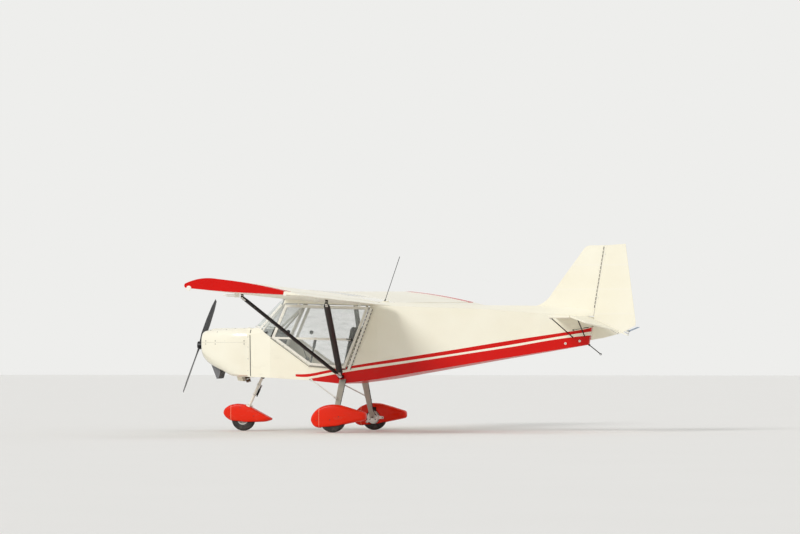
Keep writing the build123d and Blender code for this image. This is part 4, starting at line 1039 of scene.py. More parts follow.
# the body's edges: the cowling's seam, the door's surround, the pillars and the laced seam behind the doors
edging = {
    "seam": ((-2.070, 0.0035), (-2.060, 0.0025)),  # x, and how far out
    "sectionX": (-2.110, 0.350),
    "section": ((0.375, 0.525, 0.700, 0.687), (0.400, 0.555, 1.240, 1.275), (0.345, 0.470, 1.318, 1.340)),
    "sectionCorner": 0.016,
    "sectionMiddle": 1.01,
    "doorLine": [(-1.752, 1.196), (-1.244, 0.835), (-0.757, 0.790)],
    "doorY": 0.5545,
    "doorWidth": 0.006,
    "pillar": ((-1.925, 0.430, 1.314), (-1.610, 0.532, 1.622)),
    "pillarWidth": 0.034,
    "pillarFacing": (-0.28, 0.9, 0.3),
    "lacing": ((-0.418, 0.5545, 1.575), (-0.722, 0.5395, 0.790)),
    "lacingWidth": 0.034,
    "stitches": 17,
    "stitch": (0.014, 0.0042),  # half its length, and its radius
}


def edgeRing(x, out):  # the body's section at x, a little outside it
    start, length = edging["sectionX"]
    share = (x - start) / length
    half = [(y0 + (y1 - y0) * share, z0 + (z1 - z0) * share) for y0, y1, z0, z1 in edging["section"]]
    outline = roundedOutline(half + [(-y, z) for y, z in reversed(half)], edging["sectionCorner"])
    centre = (0, edging["sectionMiddle"])
    ring = []
    for i in range(72):
        angle = math.tau * (i + 0.5) / 72
        y, z = outlineAt(outline, centre, angle)
        ring.append((x, y + math.cos(angle) * out, z + math.sin(angle) * out))
    return ring


def makeEdging():
    seal = loft("cowl_seal", [edgeRing(x, out) for x, out in edging["seam"]])
    complete(seal, sealRubber, smooth=30)
    for side, way in bothSides:
        points = [Vector((x, way * edging["doorY"], z)) for x, z in edging["doorLine"]]
        points = between(points[0], points[1], 6) + between(points[1], points[2], 6)[1:]
        seal = strip("door_seal_" + side, points, edging["doorWidth"], 0.003, (0, way, 0))
        complete(seal, sealRubber, smooth=30)
        low, high = [Vector((x, way * y, z)) for x, y, z in edging["pillar"]]
        x, y, z = edging["pillarFacing"]
        outward = Vector((x, way * y, z))
        cover = strip("pillar_cover_" + side, between(low + outward * 0.002, high + outward * 0.002, 8),
                      edging["pillarWidth"], 0.004, outward)
        complete(cover, whitePlastic, smooth=40)
        heads = alongLine(low + outward * 0.007, high + outward * 0.007, 9, outward, 0.05)
        screws("pillar_screws_" + side, heads, 0.0045, 0.004)
        line = between(*[(x, way * y, z) for x, y, z in edging["lacing"]], 9)
        tape = strip("lacing_tape_" + side, line, edging["lacingWidth"], 0.003, (0, way, 0))
        complete(tape, whitePlastic, slot="white_fabric", smooth=40)
        ahead = (line[-1] - line[0]).normalized()
        across = ahead.cross(Vector((0, way, 0))).normalized()
        stitches, (reach, radius) = [], edging["stitch"]
        for i in range(edging["stitches"]):
            middle = line[0].lerp(line[-1], (i + 0.5) / edging["stitches"])
            for row in (-1, 1):
                spot = middle + across * (row * (edging["lacingWidth"] / 2 + 0.005))
                stitches.append(bar("stitch", spot - ahead * reach, spot + ahead * reach, radius, sides=8))
        unite("lacing_" + side, stitches, sealRubber)


makeEdging()
print("edges made")

# wing: tip caps, fuel cap, inspection rings, rib screws, root covers and the air-speed probe
wingParts = {
    "tipCaps": ((-1.5205, 1.757, 0.030), (-0.343, 1.680, 0.020)),
    "tipY": 4.750,
    "fuelCap": (-1.130, 0.86),
    "inspection": ((-1.20, 1.10), (-0.62, 1.10), (-1.20, 2.90), (-0.62, 2.90), (-1.05, 4.05)),
    "ribs": (0.56, 0.3486, 12),  # the first rib's y, the step to the next, and how many
    "ribScrews": (0.16, 0.30, 0.44, 0.58, 0.72, 0.86),
    "nose": -1.52, "chord": 1.1,
    "rootCover": ((-1.540, -1.510, -1.460, -1.400, -1.330), 0.585),  # places in x, and y
    "rootTape": (-1.50, -0.45, 0.572),  # x from and to, and y
    "probe": ((-1.398, -3.200, 1.702), (-1.576, -3.200, 1.703)),
    "lightRows": ((-1.300, -0.690), 0.437, 16),  # x of both rows, half their length, and how many
}


def onWing(side, x, y, below=False):
    wing = nodes["wing_" + side]
    way = -1 if side == "port" else 1
    return meet(wing, (x, way * y, 1.2 if below else 2.4), (0, 0, 1 if below else -1))


def makeWingParts():
    for side, way in bothSides:
        caps = []
        for x, z, radius in wingParts["tipCaps"]:
            profile = [(-0.004, 0.0), (-0.004, radius * 0.9), (0.0, radius), (0.004, radius),
                       (0.0065, radius * 0.86), (0.0065, radius * 0.35), (0.004, radius * 0.3), (0.004, 0.0)]
            caps.append(lathe("cap", profile, (x, way * wingParts["tipY"], z), (0, way, 0), 32))
        unite("tip_caps_" + side, caps, whitePlastic)
        spot, facing = onWing(side, *wingParts["fuelCap"])
        cap = lathe("fuel_cap_" + side, [(-0.002, 0.0), (-0.002, 0.038), (0.001, 0.040), (0.003, 0.036),
                                         (0.003, 0.030), (0.005, 0.028), (0.005, 0.0)], spot, facing, 40)
        grip = block("grip", (-0.018, -0.0035, 0.0), (0.018, 0.0035, 0.009), 0.0015)
        unite("fuel_cap_" + side, [cap, settle(standOn(grip, spot, facing))], whitePlastic)
        profile = [(-0.001, 0.0), (-0.001, 0.046), (0.0012, 0.047), (0.0026, 0.044), (0.0026, 0.036),
                   (0.0016, 0.034), (0.0016, 0.0)]
        rings = [lathe("ring", profile, *onWing(side, x, y, True), 36) for x, y in wingParts["inspection"]]
        unite("inspection_rings_" + side, rings, whitePlastic)
        first, step, count = wingParts["ribs"]
        places = [onWing(side, wingParts["nose"] + wingParts["chord"] * share, first + rib * step - 0.0001)
                  for rib in range(1, count) for share in wingParts["ribScrews"]]
        screws("rib_screws_" + side, places, 0.0045, 0.0028, whiteTube)
        spread, y = wingParts["rootCover"]
        path, facings = map(list, zip(*[onWing(side, x, y) for x in spread]))
        complete(strip("root_cover_" + side, path, 0.060, 0.006, facings), creamShell, smooth=40)
        x0, x1, y = wingParts["rootTape"]
        path, facings = map(list, zip(*[onWing(side, x0 + (x1 - x0) * i / 11, y) for i in range(12)]))
        tape = strip("root_tape_" + side, path, 0.026, 0.0022, facings)
        complete(tape, whitePlastic, slot="white_fabric", smooth=40)
    rear, tip = [Vector(spot) for spot in wingParts["probe"]]
    below = Vector((0, 0, -0.018))
    low, high = rear - Vector((0.030, 0.011, 0.030)), rear + Vector((0.030, 0.011, 0.045))
    parts = [bar("probe", rear, tip, 0.006, 0.002, 16),
             bar("probe", rear + below, tip + below + Vector((0.04, 0, 0)), 0.0045, 0.0015, 16),
             block("foot", low, high, 0.005, 3)]
    unite("air_speed_probe", parts, whitePlastic)
    (x0, x1), half, count = wingParts["lightRows"]
    spots = [(x0 + (x1 - x0) * i / (count - 1), way * half) for i in range(count) for side, way in bothSides]
    spots += [(x, way * half * k / 7) for side, way in bothSides for x in (x0, x1) for k in range(1, 7)]
    places = [meet(nodes["roof_panel"], (x, y, 2.4), (0, 0, -1)) for x, y in spots]
    screws("roof_light_screws", places, 0.009, 0.006, whitePlastic)


makeWingParts()
print("wing details made")

# lift struts: forks, bolts and washers at both ends
strutEnds = {
    "foot": (-0.811, 0.602, 0.708),
    "tops": ((-1.500, 2.660, 1.688), (-0.424, 2.660, 1.606)),
    "boltRadius": 0.009,
    "plateWidth": 0.0288,
    "plateOff": 0.0125,
    "plateReach": (0.045, 0.040),
    "topIn": 0.030,
    "footOut": (0.060, 0.110),
}


def makeStrutEnds():
    for side, way in bothSides:
        foot, *tops = [Vector((x, way * y, z)) for x, y, z in (strutEnds["foot"], *strutEnds["tops"])]
        bolts, forks = [], []
        for i, top in enumerate(tops):
            ahead = (top - foot).normalized()
            across = Vector((1, 0, 0))
            across = (across - ahead * across.dot(ahead)).normalized()
            out = ahead.cross(across).normalized()
            for end in (top - ahead * strutEnds["topIn"], foot + ahead * strutEnds["footOut"][i]):
                for face in (-1, 1):
                    path = between(end - ahead * strutEnds["plateReach"][0],
                                   end + ahead * strutEnds["plateReach"][1], 3)
                    plate = strip("plate", path, strutEnds["plateWidth"], 0.004, out * face)
                    for spot in plate.data.vertices:
                        spot.co += out * (face * strutEnds["plateOff"])
                    forks.append(plate)
                bolts.append(boltWithNut("bolt", end, out, 0.019, strutEnds["boltRadius"] * 0.55))
        unite("strut_fork_plates_" + side, forks, whiteTube)
        bolts.append(boltWithNut("bolt", foot + Vector((0, way * 0.010, 0)), (0, way, 0), 0.026,
                                 strutEnds["boltRadius"]))
        unite("strut_bolts_" + side, bolts, brightSteel)
        washer = lathe("foot_washer_" + side, [(0.0, 0.010), (0.0, 0.022), (0.003, 0.024), (0.006, 0.022),
                                               (0.006, 0.010), (0.0, 0.010)],
                       foot + Vector((0, way * 0.014, 0.0)), (0, way, 0), 30)
        complete(washer, whitePlastic)


makeStrutEnds()
print("strut ends made")

# seats: a tube frame with two simulated cushions and a red harness
seats = {
    "middleY": 0.255,
    "pan": {"from": (-1.278, 0.846), "to": (-0.852, 0.772), "width": 0.398, "thick": 0.042, "channels": 3},
    "back": {"from": (-0.806, 0.806), "to": (-0.700, 1.340), "width": 0.380, "thick": 0.036, "channels": 4},
    "voxel": 0.006,
    "cap": 0.010,
    "pressure": 4.0,
    "frames": 20,
    "channelDeep": 0.006,
    "channelWide": 0.007,
    "rail": 0.011,
    "railY": 0.165,
    "legY": 0.150,
    "underPan": 0.038,
    "behindBack": 0.034,
    "panBars": (0.04, 0.5, 0.93),
    "backBars": (0.30, 0.62, 0.97),
    "legs": ((-1.230, 0.664), (-0.900, 0.628)),
    "shoulderLine": (0.95, 0.88, 0.060, 0.030, 12),  # share of the back, its change, y, its change, and steps
    "lapLine": (0.86, 0.14, 0.172, -0.152, 8),
    "buckleAt": 0.72,
    "strap": 0.044,
    "strapThick": 0.003,
}


def plump(piece, cap):
    # cloth under pressure swells the pad, and no point moves further than the cap
    copy = duplicate(piece)
    bpy.data.objects.remove(piece)
    modify(copy, "REMESH", mode="VOXEL", voxel_size=seats["voxel"])
    rest = [spot.co.copy() for spot in copy.data.vertices]
    cloth = copy.modifiers.new("Cloth", "CLOTH")
    cloth.settings.use_pressure = True
    cloth.settings.uniform_pressure_force = seats["pressure"]
    cloth.settings.effector_weights.gravity = 0
    cloth.settings.quality = 5
    cloth.settings.tension_stiffness = 25
    cloth.settings.compression_stiffness = 25
    cloth.point_cache.frame_start, cloth.point_cache.frame_end = 1, seats["frames"]
    for step in range(1, seats["frames"] + 1):
        bpy.context.scene.frame_set(step)
    swollen = copy.evaluated_get(bpy.context.evaluated_depsgraph_get()).data
    moved = [spot.co.copy() for spot in swollen.vertices]
    copy.modifiers.remove(cloth)
    bpy.context.scene.frame_set(1)
    for spot, old, new in zip(copy.data.vertices, rest, moved):
        shift = new - old
        spot.co = old + (shift.normalized() * cap if shift.length > cap else shift)
    return copy


def makeCushion(name, facts, y):
    (x0, z0), (x1, z1) = facts["from"], facts["to"]
    start, end = Vector((x0, y, z0)), Vector((x1, y, z1))
    ahead = (end - start).normalized()
    out = Vector((0, 1, 0)).cross(ahead).normalized()  # up from the pan, forwards from the back
    if out.z < 0:
        out = -out
    if facts is seats["back"] and out.x > 0:
        out = -out
    length, half, thick = (end - start).length, facts["width"] / 2, facts["thick"]
    rings = []
    for share, narrow, thin in ((0.0, 0.90, 0.45), (0.02, 0.95, 0.75), (0.06, 0.985, 1.0), (0.28, 1.0, 1.0),
                                (0.5, 1.0, 1.0), (0.72, 1.0, 1.0), (0.94, 0.985, 1.0), (0.98, 0.95, 0.75),
                                (1.0, 0.90, 0.45)):
        ring = []
        for k in range(28):
            angle = math.tau * (k + 0.5) / 28
            across = boxier(math.cos(angle), 0.32) * half * narrow
            rise = boxier(math.sin(angle), 0.55) * thick / 2 * thin
            ring.append(start.lerp(end, share) + Vector((0, across, 0)) + out * rise)
        rings.append(ring)
    pad = loft(name, rings)
    pad = plump(pad, seats["cap"])
    modify(pad, "SUBSURF", levels=1, render_levels=1)
    pad.name = pad.data.name = name
    # sewn channels across the cushion
    middle = start.lerp(end, 0.5)
    for spot in pad.data.vertices:
        along = (spot.co - start).dot(ahead) / length
        up = (spot.co - middle).dot(out)
        if up > 0 and 0.02 < along < 0.98:
            near = min(abs(along - (k + 1) / (facts["channels"] + 1))
                       for k in range(facts["channels"])) * length
            edge = max(0.0, 1 - (abs(spot.co.y - y) / half) ** 6)
            spot.co -= out * (seats["channelDeep"] * edge * math.exp(-(near / seats["channelWide"]) ** 2))
    # piping round the edge, where the swollen sides are
    loop = []
    for k in range(48):
        angle = math.tau * k / 48
        way = ahead * math.cos(angle) + Vector((0, 1, 0)) * math.sin(angle)
        spot, facing = meet(pad, middle + way * 0.9, -way)
        loop.append(spot + facing * 0.0005)
    piping = tube(name + "_piping", loop + loop[:1], 0.0035, False, 2)
    return pad, piping, (start, end, ahead, out)


def makeSeat(side, way):
    y = way * seats["middleY"]
    pieces = {}
    for part in ("pan", "back"):
        pad, piping, lines = makeCushion("seat_" + part + "_cushion_" + side, seats[part], y)
        complete(pad, cushionCloth, smooth=60)
        complete(piping, blackPlastic, slot="seat_cover", smooth=60)
        pieces[part] = (pad, lines)
    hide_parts("seat_" + side)
    panPad, (panStart, panEnd, panAhead, panOut) = pieces["pan"]
    backPad, (backStart, backEnd, backAhead, backOut) = pieces["back"]
    under, behind = panOut * -seats["underPan"], backOut * -seats["behindBack"]
    tubes = []
    for edge in (-1, 1):
        low, high = [shift + Vector((0, edge * seats["railY"], 0)) for shift in (under, behind)]
        path = [panStart + low + panAhead * 0.01, panStart.lerp(panEnd, 0.5) + low,
                panEnd + low - panAhead * 0.03, panEnd + low + panAhead * 0.03 + Vector((0.006, 0, 0.004)),
                backStart + high + backAhead * 0.01, backStart.lerp(backEnd, 0.3) + high,
                backStart.lerp(backEnd, 0.7) + high, backEnd + high - backAhead * 0.01]
        tubes.append(tube("rail", path, seats["rail"], True, 4))
        for x, low in seats["legs"]:
            share = (x - panStart.x) / (panEnd.x - panStart.x)
            top = panStart.lerp(panEnd, share) + under + Vector((0, edge * seats["legY"], 0))
            tubes.append(bar("leg", (x, y + edge * seats["legY"], low), top, 0.010, sides=16))
    for share in seats["panBars"]:
        tubes.append(crossBar("cross", panStart.lerp(panEnd, share) + under, seats["railY"], 0.009))
    for share in seats["backBars"]:
        tubes.append(crossBar("cross", backStart.lerp(backEnd, share) + behind, seats["railY"], 0.009))
    unite("seat_frame_" + side, tubes, darkSteel, smooth=40)
    straps = []
    for edge in (-1, 1):
        for name, pad, (first, last), out in (("shoulder", backPad, (backStart, backEnd), backOut),
                                              ("lap", panPad, (panStart, panEnd), panOut)):
            share, less, off, more, count = seats[name + "Line"]
            line = [first.lerp(last, share - less * i / count)
                    + Vector((0, edge * (off + more * i / count), 0)) for i in range(count + 1)]
            spots, facings = map(list, zip(*[meet(pad, spot + out * 0.3, -out) for spot in line]))
            spots = [spot + facing * 0.001 for spot, facing in zip(spots, facings)]
            straps.append(strip(name, spots, seats["strap"], seats["strapThick"], facings))
    unite("harness_" + side, straps, harnessRed, smooth=40)
    spot, facing = meet(panPad, panStart.lerp(panEnd, seats["buckleAt"]) + panOut * 0.3, -panOut)
    buckle = [block("buckle", (-0.030, -0.036, 0.0), (0.030, 0.036, 0.016), 0.005, 3),
              block("button", (-0.014, -0.022, 0.015), (0.014, 0.022, 0.020), 0.002, 2)]
    for piece in buckle:
        settle(standOn(piece, spot + facing * 0.0035, facing))
    unite("harness_buckle_" + side, buckle, blackPlastic)


for side, way in bothSides:
    makeSeat(side, way)
print("seats made")

# cockpit: the panel's dials, switches and radio box, and the controls
cockpit = {
    "face": -1.8205,
    "dials": ((-0.335, 1.185, 0.040), (-0.235, 1.185, 0.040), (-0.135, 1.185, 0.040), (-0.335, 1.085, 0.029),
              (-0.255, 1.085, 0.029), (-0.175, 1.085, 0.029), (0.135, 1.185, 0.029), (0.215, 1.185, 0.029),
              (0.295, 1.185, 0.029), (0.175, 1.095, 0.026), (0.255, 1.095, 0.026)),
    "switches": (-0.09, -0.06, -0.03, 0.0, 0.03, 0.06, 0.09),
    "switchZ": 1.060,
    "knobs": ((-0.070, 1.130, "black"), (0.0, 1.130, "red"), (0.070, 1.130, "black")),
    "radio": ((-0.075, 1.165), (0.075, 1.220)),
    "trim": (-1.795, 0.44, 1.289),  # x, half its length, and z
    "screwY": (-0.41, -0.105, 0.105, 0.41),
    "screwZ": (1.04, 1.225),
    "grip": ((-1.334, 0, 1.070), (-1.308, 0, 1.200)),
    "boot": (-1.370, 0, 0.672),
    # x and z, the pedals' middles in y, and the treads' step
    "pedals": ((-1.945, 0.870), (-0.330, -0.190, 0.190, 0.330), 0.013),
    "throttle": ((-1.560, 0.470, 0.930), (-0.050, 0, 0.150)),  # foot, and the way to the knob
}


def makeDials():
    face = cockpit["face"]
    rims, faces, marks, needles = [], [], [], []
    for k, (y, z, radius) in enumerate(cockpit["dials"]):
        centre = Vector((face, y, z))
        rims.append(lathe("rim", [(-0.002, radius * 0.80), (0.007, radius * 0.80), (0.010, radius * 0.88),
                                  (0.010, radius * 0.98), (0.007, radius * 1.06), (-0.002, radius * 1.06),
                                  (-0.002, radius * 0.80)],
                          centre, (1, 0, 0), 36))
        faces.append(lathe("face", [(0.0, 0.0), (0.003, 0.0), (0.003, radius * 0.82), (0.0, radius * 0.82)],
                           centre, (1, 0, 0), 32))
        for i in range(11):
            angle = math.radians(-50 + 28 * i)
            way = Vector((0, math.cos(angle), math.sin(angle)))
            long = 0.60 if i % 5 else 0.54
            marks.append(bar("mark", centre + way * (radius * long) + Vector((0.0036, 0, 0)),
                             centre + way * (radius * 0.76) + Vector((0.0036, 0, 0)), radius * 0.022,
                             sides=6))
        angle = math.radians(212 - 17 * k)
        way = Vector((0, math.cos(angle), math.sin(angle)))
        needles.append(bar("needle", centre - way * (radius * 0.12) + Vector((0.0052, 0, 0)),
                           centre + way * (radius * 0.62) + Vector((0.0052, 0, 0)), radius * 0.032, sides=6))
        needles.append(lathe("hub", [(0.002, 0.0), (0.002, radius * 0.1), (0.0065, radius * 0.08),
                                     (0.0065, 0.0)],
                             centre, (1, 0, 0), 14))
    unite("dial_rims", rims, blackPlastic)
    unite("dial_faces", faces, dialFace)
    unite("dial_marks", marks, dialMarks)
    unite("dial_needles", needles, needleRed)
    levers, plates = [], []
    for y in cockpit["switches"]:
        z = cockpit["switchZ"]
        plates.append(lathe("nut", [(-0.001, 0.0), (-0.001, 0.0075), (0.004, 0.007), (0.004, 0.0)],
                            (face, y, z), (1, 0, 0), 6))
        tip = Vector((face + 0.018, y, z + 0.008))
        levers.append(lathe("lever", [(0.0, 0.0), (0.0, 0.0020), (0.014, 0.0034), (0.019, 0.0030),
                                      (0.020, 0.0)],
                            (face, y, z), tip - Vector((face, y, z)), 12))
    unite("switch_levers", levers, brightSteel)
    unite("switch_nuts", plates, darkSteel)
    for y, z, tone in cockpit["knobs"]:
        profile = [(-0.001, 0.0), (-0.001, 0.005), (0.022, 0.005), (0.024, 0.011), (0.030, 0.015),
                   (0.037, 0.014), (0.040, 0.009), (0.040, 0.0)]
        knob = lathe("knob_" + str(int(y * 1000 + 500)), profile, (face, y, z), (1, 0, 0.05), 24)
        complete(knob, needleRed if tone == "red" else blackPlastic, slot="black_plastic")
    (y0, z0), (y1, z1) = cockpit["radio"]
    box = block("radio", (face - 0.001, y0, z0), (face + 0.009, y1, z1), 0.0025, 3)
    window = block("window", (face + 0.008, y0 + 0.028, z0 + 0.024), (face + 0.0105, y1 - 0.028, z1 - 0.010),
                   0.001, 2)
    knobs = [lathe("knob", [(0.008, 0.0), (0.008, 0.009), (0.020, 0.008), (0.021, 0.006), (0.021, 0.0)],
                   (face, y, z0 + 0.016), (1, 0, 0), 20) for y in (y0 + 0.014, y1 - 0.014)]
    unite("radio_box", [box] + knobs, greyPanel)
    complete(window, dialFace)
    x, y, z = cockpit["trim"]
    edge = strip("panel_edge_trim", between((x, -y, z), (x, y, z), 8), 0.020, 0.006, (0.6, 0, 0.8))
    complete(edge, sealRubber, smooth=50)
    places = [((face + 0.0005, y, z), (1, 0, 0)) for y in cockpit["screwY"] for z in cockpit["screwZ"]]
    screws("panel_screws", places, 0.004, 0.003)


makeDials()

low, high = [Vector(spot) for spot in cockpit["grip"]]
run = (high - low).normalized()
grip = lathe("stick_grip", [(-0.001, 0.0), (-0.001, 0.0175), (0.010, 0.0195), (0.020, 0.0180),
                            (0.032, 0.0195), (0.044, 0.0180), (0.056, 0.0195), (0.068, 0.0180),
                            (0.080, 0.0195), (0.092, 0.0180), (0.112, 0.0200), (0.126, 0.0185),
                            (0.134, 0.0110), (0.135, 0.0)], low, run, 32)
complete(grip, sealRubber)
button = lathe("stick_button", [(0.132, 0.0), (0.132, 0.006), (0.139, 0.005), (0.140, 0.0)], low, run, 20)
complete(button, needleRed)
boot = lathe("stick_boot", [(0.0, 0.0125), (0.0, 0.062), (0.006, 0.064), (0.010, 0.056), (0.022, 0.050),
                            (0.026, 0.042), (0.038, 0.036), (0.042, 0.029), (0.056, 0.024), (0.060, 0.018),
                            (0.070, 0.0150), (0.070, 0.0125), (0.0, 0.0125)], cockpit["boot"], (0, 0, 1), 40)
complete(boot, sealRubber)
(x, z), middles, step = cockpit["pedals"]
profile = [(-0.0035, 0.0112), (-0.003, 0.0135), (0.003, 0.0135), (0.0035, 0.0112), (-0.0035, 0.0112)]
treads = [lathe("tread", profile, (x, y + step * k, z), (0, 1, 0), 20) for y in middles for k in range(-3, 4)]
unite("pedal_treads", treads, sealRubber)
for side, way in bothSides:  # throttle levers by the doors' front corners
    (x, y, z), reach = cockpit["throttle"]
    base, reach = Vector((x, way * y, z)), Vector(reach)
    lever = [bar("lever", base, base + reach, 0.005, sides=14),
             lathe("knob", [(-0.012, 0.0), (-0.012, 0.010), (-0.004, 0.015), (0.012, 0.016), (0.020, 0.012),
                            (0.022, 0.0)],
                   base + reach, reach, 24),
             lathe("pivot", [(-0.012, 0.0), (-0.012, 0.020), (0.066, 0.020), (0.066, 0.0)], base, (0, way, 0),
                   24)]
    unite("throttle_" + side, lever, blackPlastic)
print("cockpit made")

# landing gear fittings: brackets, discs, callipers, brake lines, brace ends, collars
gear = {
    "wheelX": -0.796, "wheelZ": 0.167,
    "bracketY": 0.934,
    "bracket": [(0.148, -0.022), (0.150, 0.002), (0.140, 0.014), (0.066, 0.020), (0.058, 0.052),
                (0.026, 0.078), (-0.022, 0.082), (-0.058, 0.056), (-0.068, 0.014), (-0.062, -0.022),
                (-0.094, -0.056), (-0.092, -0.074), (-0.074, -0.078), (-0.040, -0.052), (0.004, -0.066),
                (0.050, -0.050), (0.076, -0.024)],
    "legTop": (0.500, 0.700), "legFoot": (0.932, 0.150), "legX": -0.802,
    "brace": ((-1.240, 0.524, 0.676), (-0.808, 0.792, 0.424)),
    "bolts": ((0.036, 0.036), (-0.036, 0.036), (-0.036, -0.030), (0.036, -0.030), (0.132, -0.008),
              (-0.080, -0.064)),
    "discY": 0.9685, "discHoles": 10, "discCircle": 0.056,
    "calliper": (0.025, 0.088, 0.939, 0.9605, 0.028),  # x from and to, y from and to, and half its height
    "lineShares": (0.14, 0.3, 0.5, 0.7, 0.9, 0.985),
    "lineStart": ((0.058, 0.918, 0.010), (0.060, 0.905, 0.030)),
    "collars": (0.345, 0.485),
    "clips": (0.24, 0.45, 0.66, 0.87),
    "damperBack": 0.034, "damperPins": (0.345, 0.487),
}


def makeGearFittings():
    x, z = gear["wheelX"], gear["wheelZ"]
    for side, way in bothSides:
        y = gear["bracketY"]
        bracket = plateFrom("wheel_bracket_" + side, gear["bracket"], (x, z), way * (y - 0.004),
                            way * (y + 0.005))
        tidyNormals(bracket)
        hub = lathe("hub", [(-0.012, 0.0), (-0.012, 0.022), (-0.006, 0.026), (0.004, 0.026), (0.004, 0.0)],
                    (x, way * (y - 0.004), z), (0, way, 0), 32)
        unite("wheel_bracket_" + side, [bracket, hub], rimPaint)
        places = [((x + dx, way * (y - 0.0045), z + dz), (0, -way, 0)) for dx, dz in gear["bolts"]]
        screws("bracket_bolts_" + side, places, 0.007, 0.006, darkSteel)
        nut = lathe("axle_nut_" + side, [(-0.030, 0.0), (-0.030, 0.009), (-0.026, 0.012), (-0.012, 0.012),
                                         (-0.012, 0.0)],
                    (x, way * (y - 0.003), z), (0, way, 0), 6)
        complete(nut, darkSteel, smooth=20)
        x0, x1, y0, y1, half = gear["calliper"]
        low, high = sorted((way * y0, way * y1))
        calliper = block("calliper_" + side, (x + x0, low, z - half), (x + x1, high, z + half), 0.006, 3)
        cylinder = lathe("cylinder", [(-0.024, 0.0), (-0.024, 0.016), (-0.020, 0.019), (0.0, 0.019),
                                      (0.0, 0.0)],
                         (x + 0.058, way * 0.944, z), (0, way, 0), 28)
        unite("calliper_" + side, [calliper, cylinder], rimPaint)
        disc = lathe("brake_disc_" + side, [(-0.002, 0.018), (-0.002, 0.076), (0.002, 0.076), (0.002, 0.018),
                                            (-0.002, 0.018)],
                     (x, way * gear["discY"], z), (0, way, 0), 56)
        holes = [crossBar("hole", around((x, way * gear["discY"], z), math.tau * k / gear["discHoles"],
                                         gear["discCircle"]), 0.01, 0.0055, 12)
                 for k in range(gear["discHoles"])]
        complete(cut(disc, *holes), brightSteel, "main_wheel_" + side)
        (yTop, zTop), (yFoot, zFoot) = gear["legTop"], gear["legFoot"]

        def onLeg(share):
            return Vector((gear["legX"] + 0.034 + 0.013 * share, way * (yFoot + (yTop - yFoot) * share),
                           zFoot + (zTop - zFoot) * share))

        path = [(x + dx, way * dy, z + dz) for dx, dy, dz in gear["lineStart"]]
        path += [onLeg(share) for share in gear["lineShares"]]
        complete(tube("brake_line_" + side, path, 0.0035, True, 3), blackPlastic)
        legWay = (onLeg(1) - onLeg(0)).normalized()
        clips = [bar("clip", onLeg(share) - legWay * 0.006, onLeg(share) + legWay * 0.006, 0.0062, 0.001, 14)
                 for share in gear["clips"]]
        unite("line_clips_" + side, clips, sealRubber)
        first, last = [Vector((bx, way * by, bz)) for bx, by, bz in gear["brace"]]
        ends, bolts = [], []
        braceWay = (last - first).normalized()
        for spot, inwards in ((first, 1), (last, -1)):
            ends.append(lathe("sleeve", [(0.0, 0.0), (0.0, 0.0115), (0.004, 0.0125), (0.040, 0.0125),
                                         (0.046, 0.0095), (0.046, 0.0)], spot + braceWay * (inwards * 0.012),
                              braceWay * inwards, 24))
            level = braceWay.cross(Vector((0, 0, 1))).normalized()
            bolts.append(boltWithNut("bolt", spot + braceWay * (inwards * 0.024), level, 0.013, 0.0045))
        unite("brace_ends_" + side, ends, rimPaint)
        unite("brace_bolts_" + side, bolts, brightSteel)


def onNoseLeg(far, y=0.0, back=0.0):
    return noseAxle + noseWay * far + Vector((noseWay.z, 0, -noseWay.x)) * back + Vector((0, y, 0))


def makeNoseFittings():
    up, back = noseWay, gear["damperBack"]
    collars = [lathe("collar", [(-0.012, 0.0165), (-0.012, 0.023), (-0.009, 0.025), (0.009, 0.025),
                                (0.012, 0.023), (0.012, 0.0165), (-0.012, 0.0165)], onNoseLeg(far), up, 36)
               for far in gear["collars"]]
    unite("leg_collars", collars, whiteTube, "nose_steering")
    damper = lathe("nose_damper", [(-0.002, 0.0), (-0.002, 0.012), (0.008, 0.0135), (0.100, 0.0135),
                                   (0.104, 0.0105), (0.110, 0.0105), (0.112, 0.007), (0.146, 0.007),
                                   (0.150, 0.010), (0.158, 0.010), (0.158, 0.0)], onNoseLeg(0.337, 0, back),
                   up, 28)
    complete(damper, darkStrut, "nose_steering")
    pins = [boltWithNut("pin", onNoseLeg(far, 0, back), (0, 1, 0), 0.0145, 0.0045)
            for far in gear["damperPins"]]
    pins += [boltWithNut("pin", onNoseLeg(far), (0, 1, 0), 0.0265, 0.004) for far in gear["collars"]]
    unite("damper_pins", pins, brightSteel, "nose_steering")
    nuts = [lathe("nut", [(0.0, 0.0), (0.0, 0.012), (0.007, 0.011), (0.007, 0.006), (0.011, 0.005),
                          (0.011, 0.0)],
                  onNoseLeg(0, way * 0.066), (0, way, 0), 6) for side, way in bothSides]
    unite("nose_axle_nuts", nuts, darkSteel, "nose_steering", smooth=20)
    ring = lathe("housing_collar", [(0.583, 0.0185), (0.583, 0.028), (0.587, 0.031), (0.603, 0.031),
                                    (0.607, 0.0275), (0.607, 0.0185), (0.583, 0.0185)], onNoseLeg(0), up, 40)
    complete(ring, darkSteel)


makeGearFittings()
makeNoseFittings()
print("gear fittings made")

# nose: propeller bolts, radiator tanks, exhaust clamp, cowling cap and inlet lips
nose = {
    "ahead": -3.4,
    "bolts": 6, "firstBolt": 0.4,
    "boltCircle": 0.034,
    "radiatorSide": [(-2.694, 0.900), (-2.606, 0.676), (-2.580, 0.681), (-2.556, 0.760), (-2.588, 0.860)],
    "radiatorHalf": 0.110,
    "exhaust": ((-2.238, 0.732), (-2.205, 0.630), 0.030),
    "cap": (-2.135, -0.235),
    "topScrews": ((-2.66, 0.20), (-2.54, 0.30), (-2.42, 0.30), (-2.30, 0.30), (-2.18, 0.30)),
}


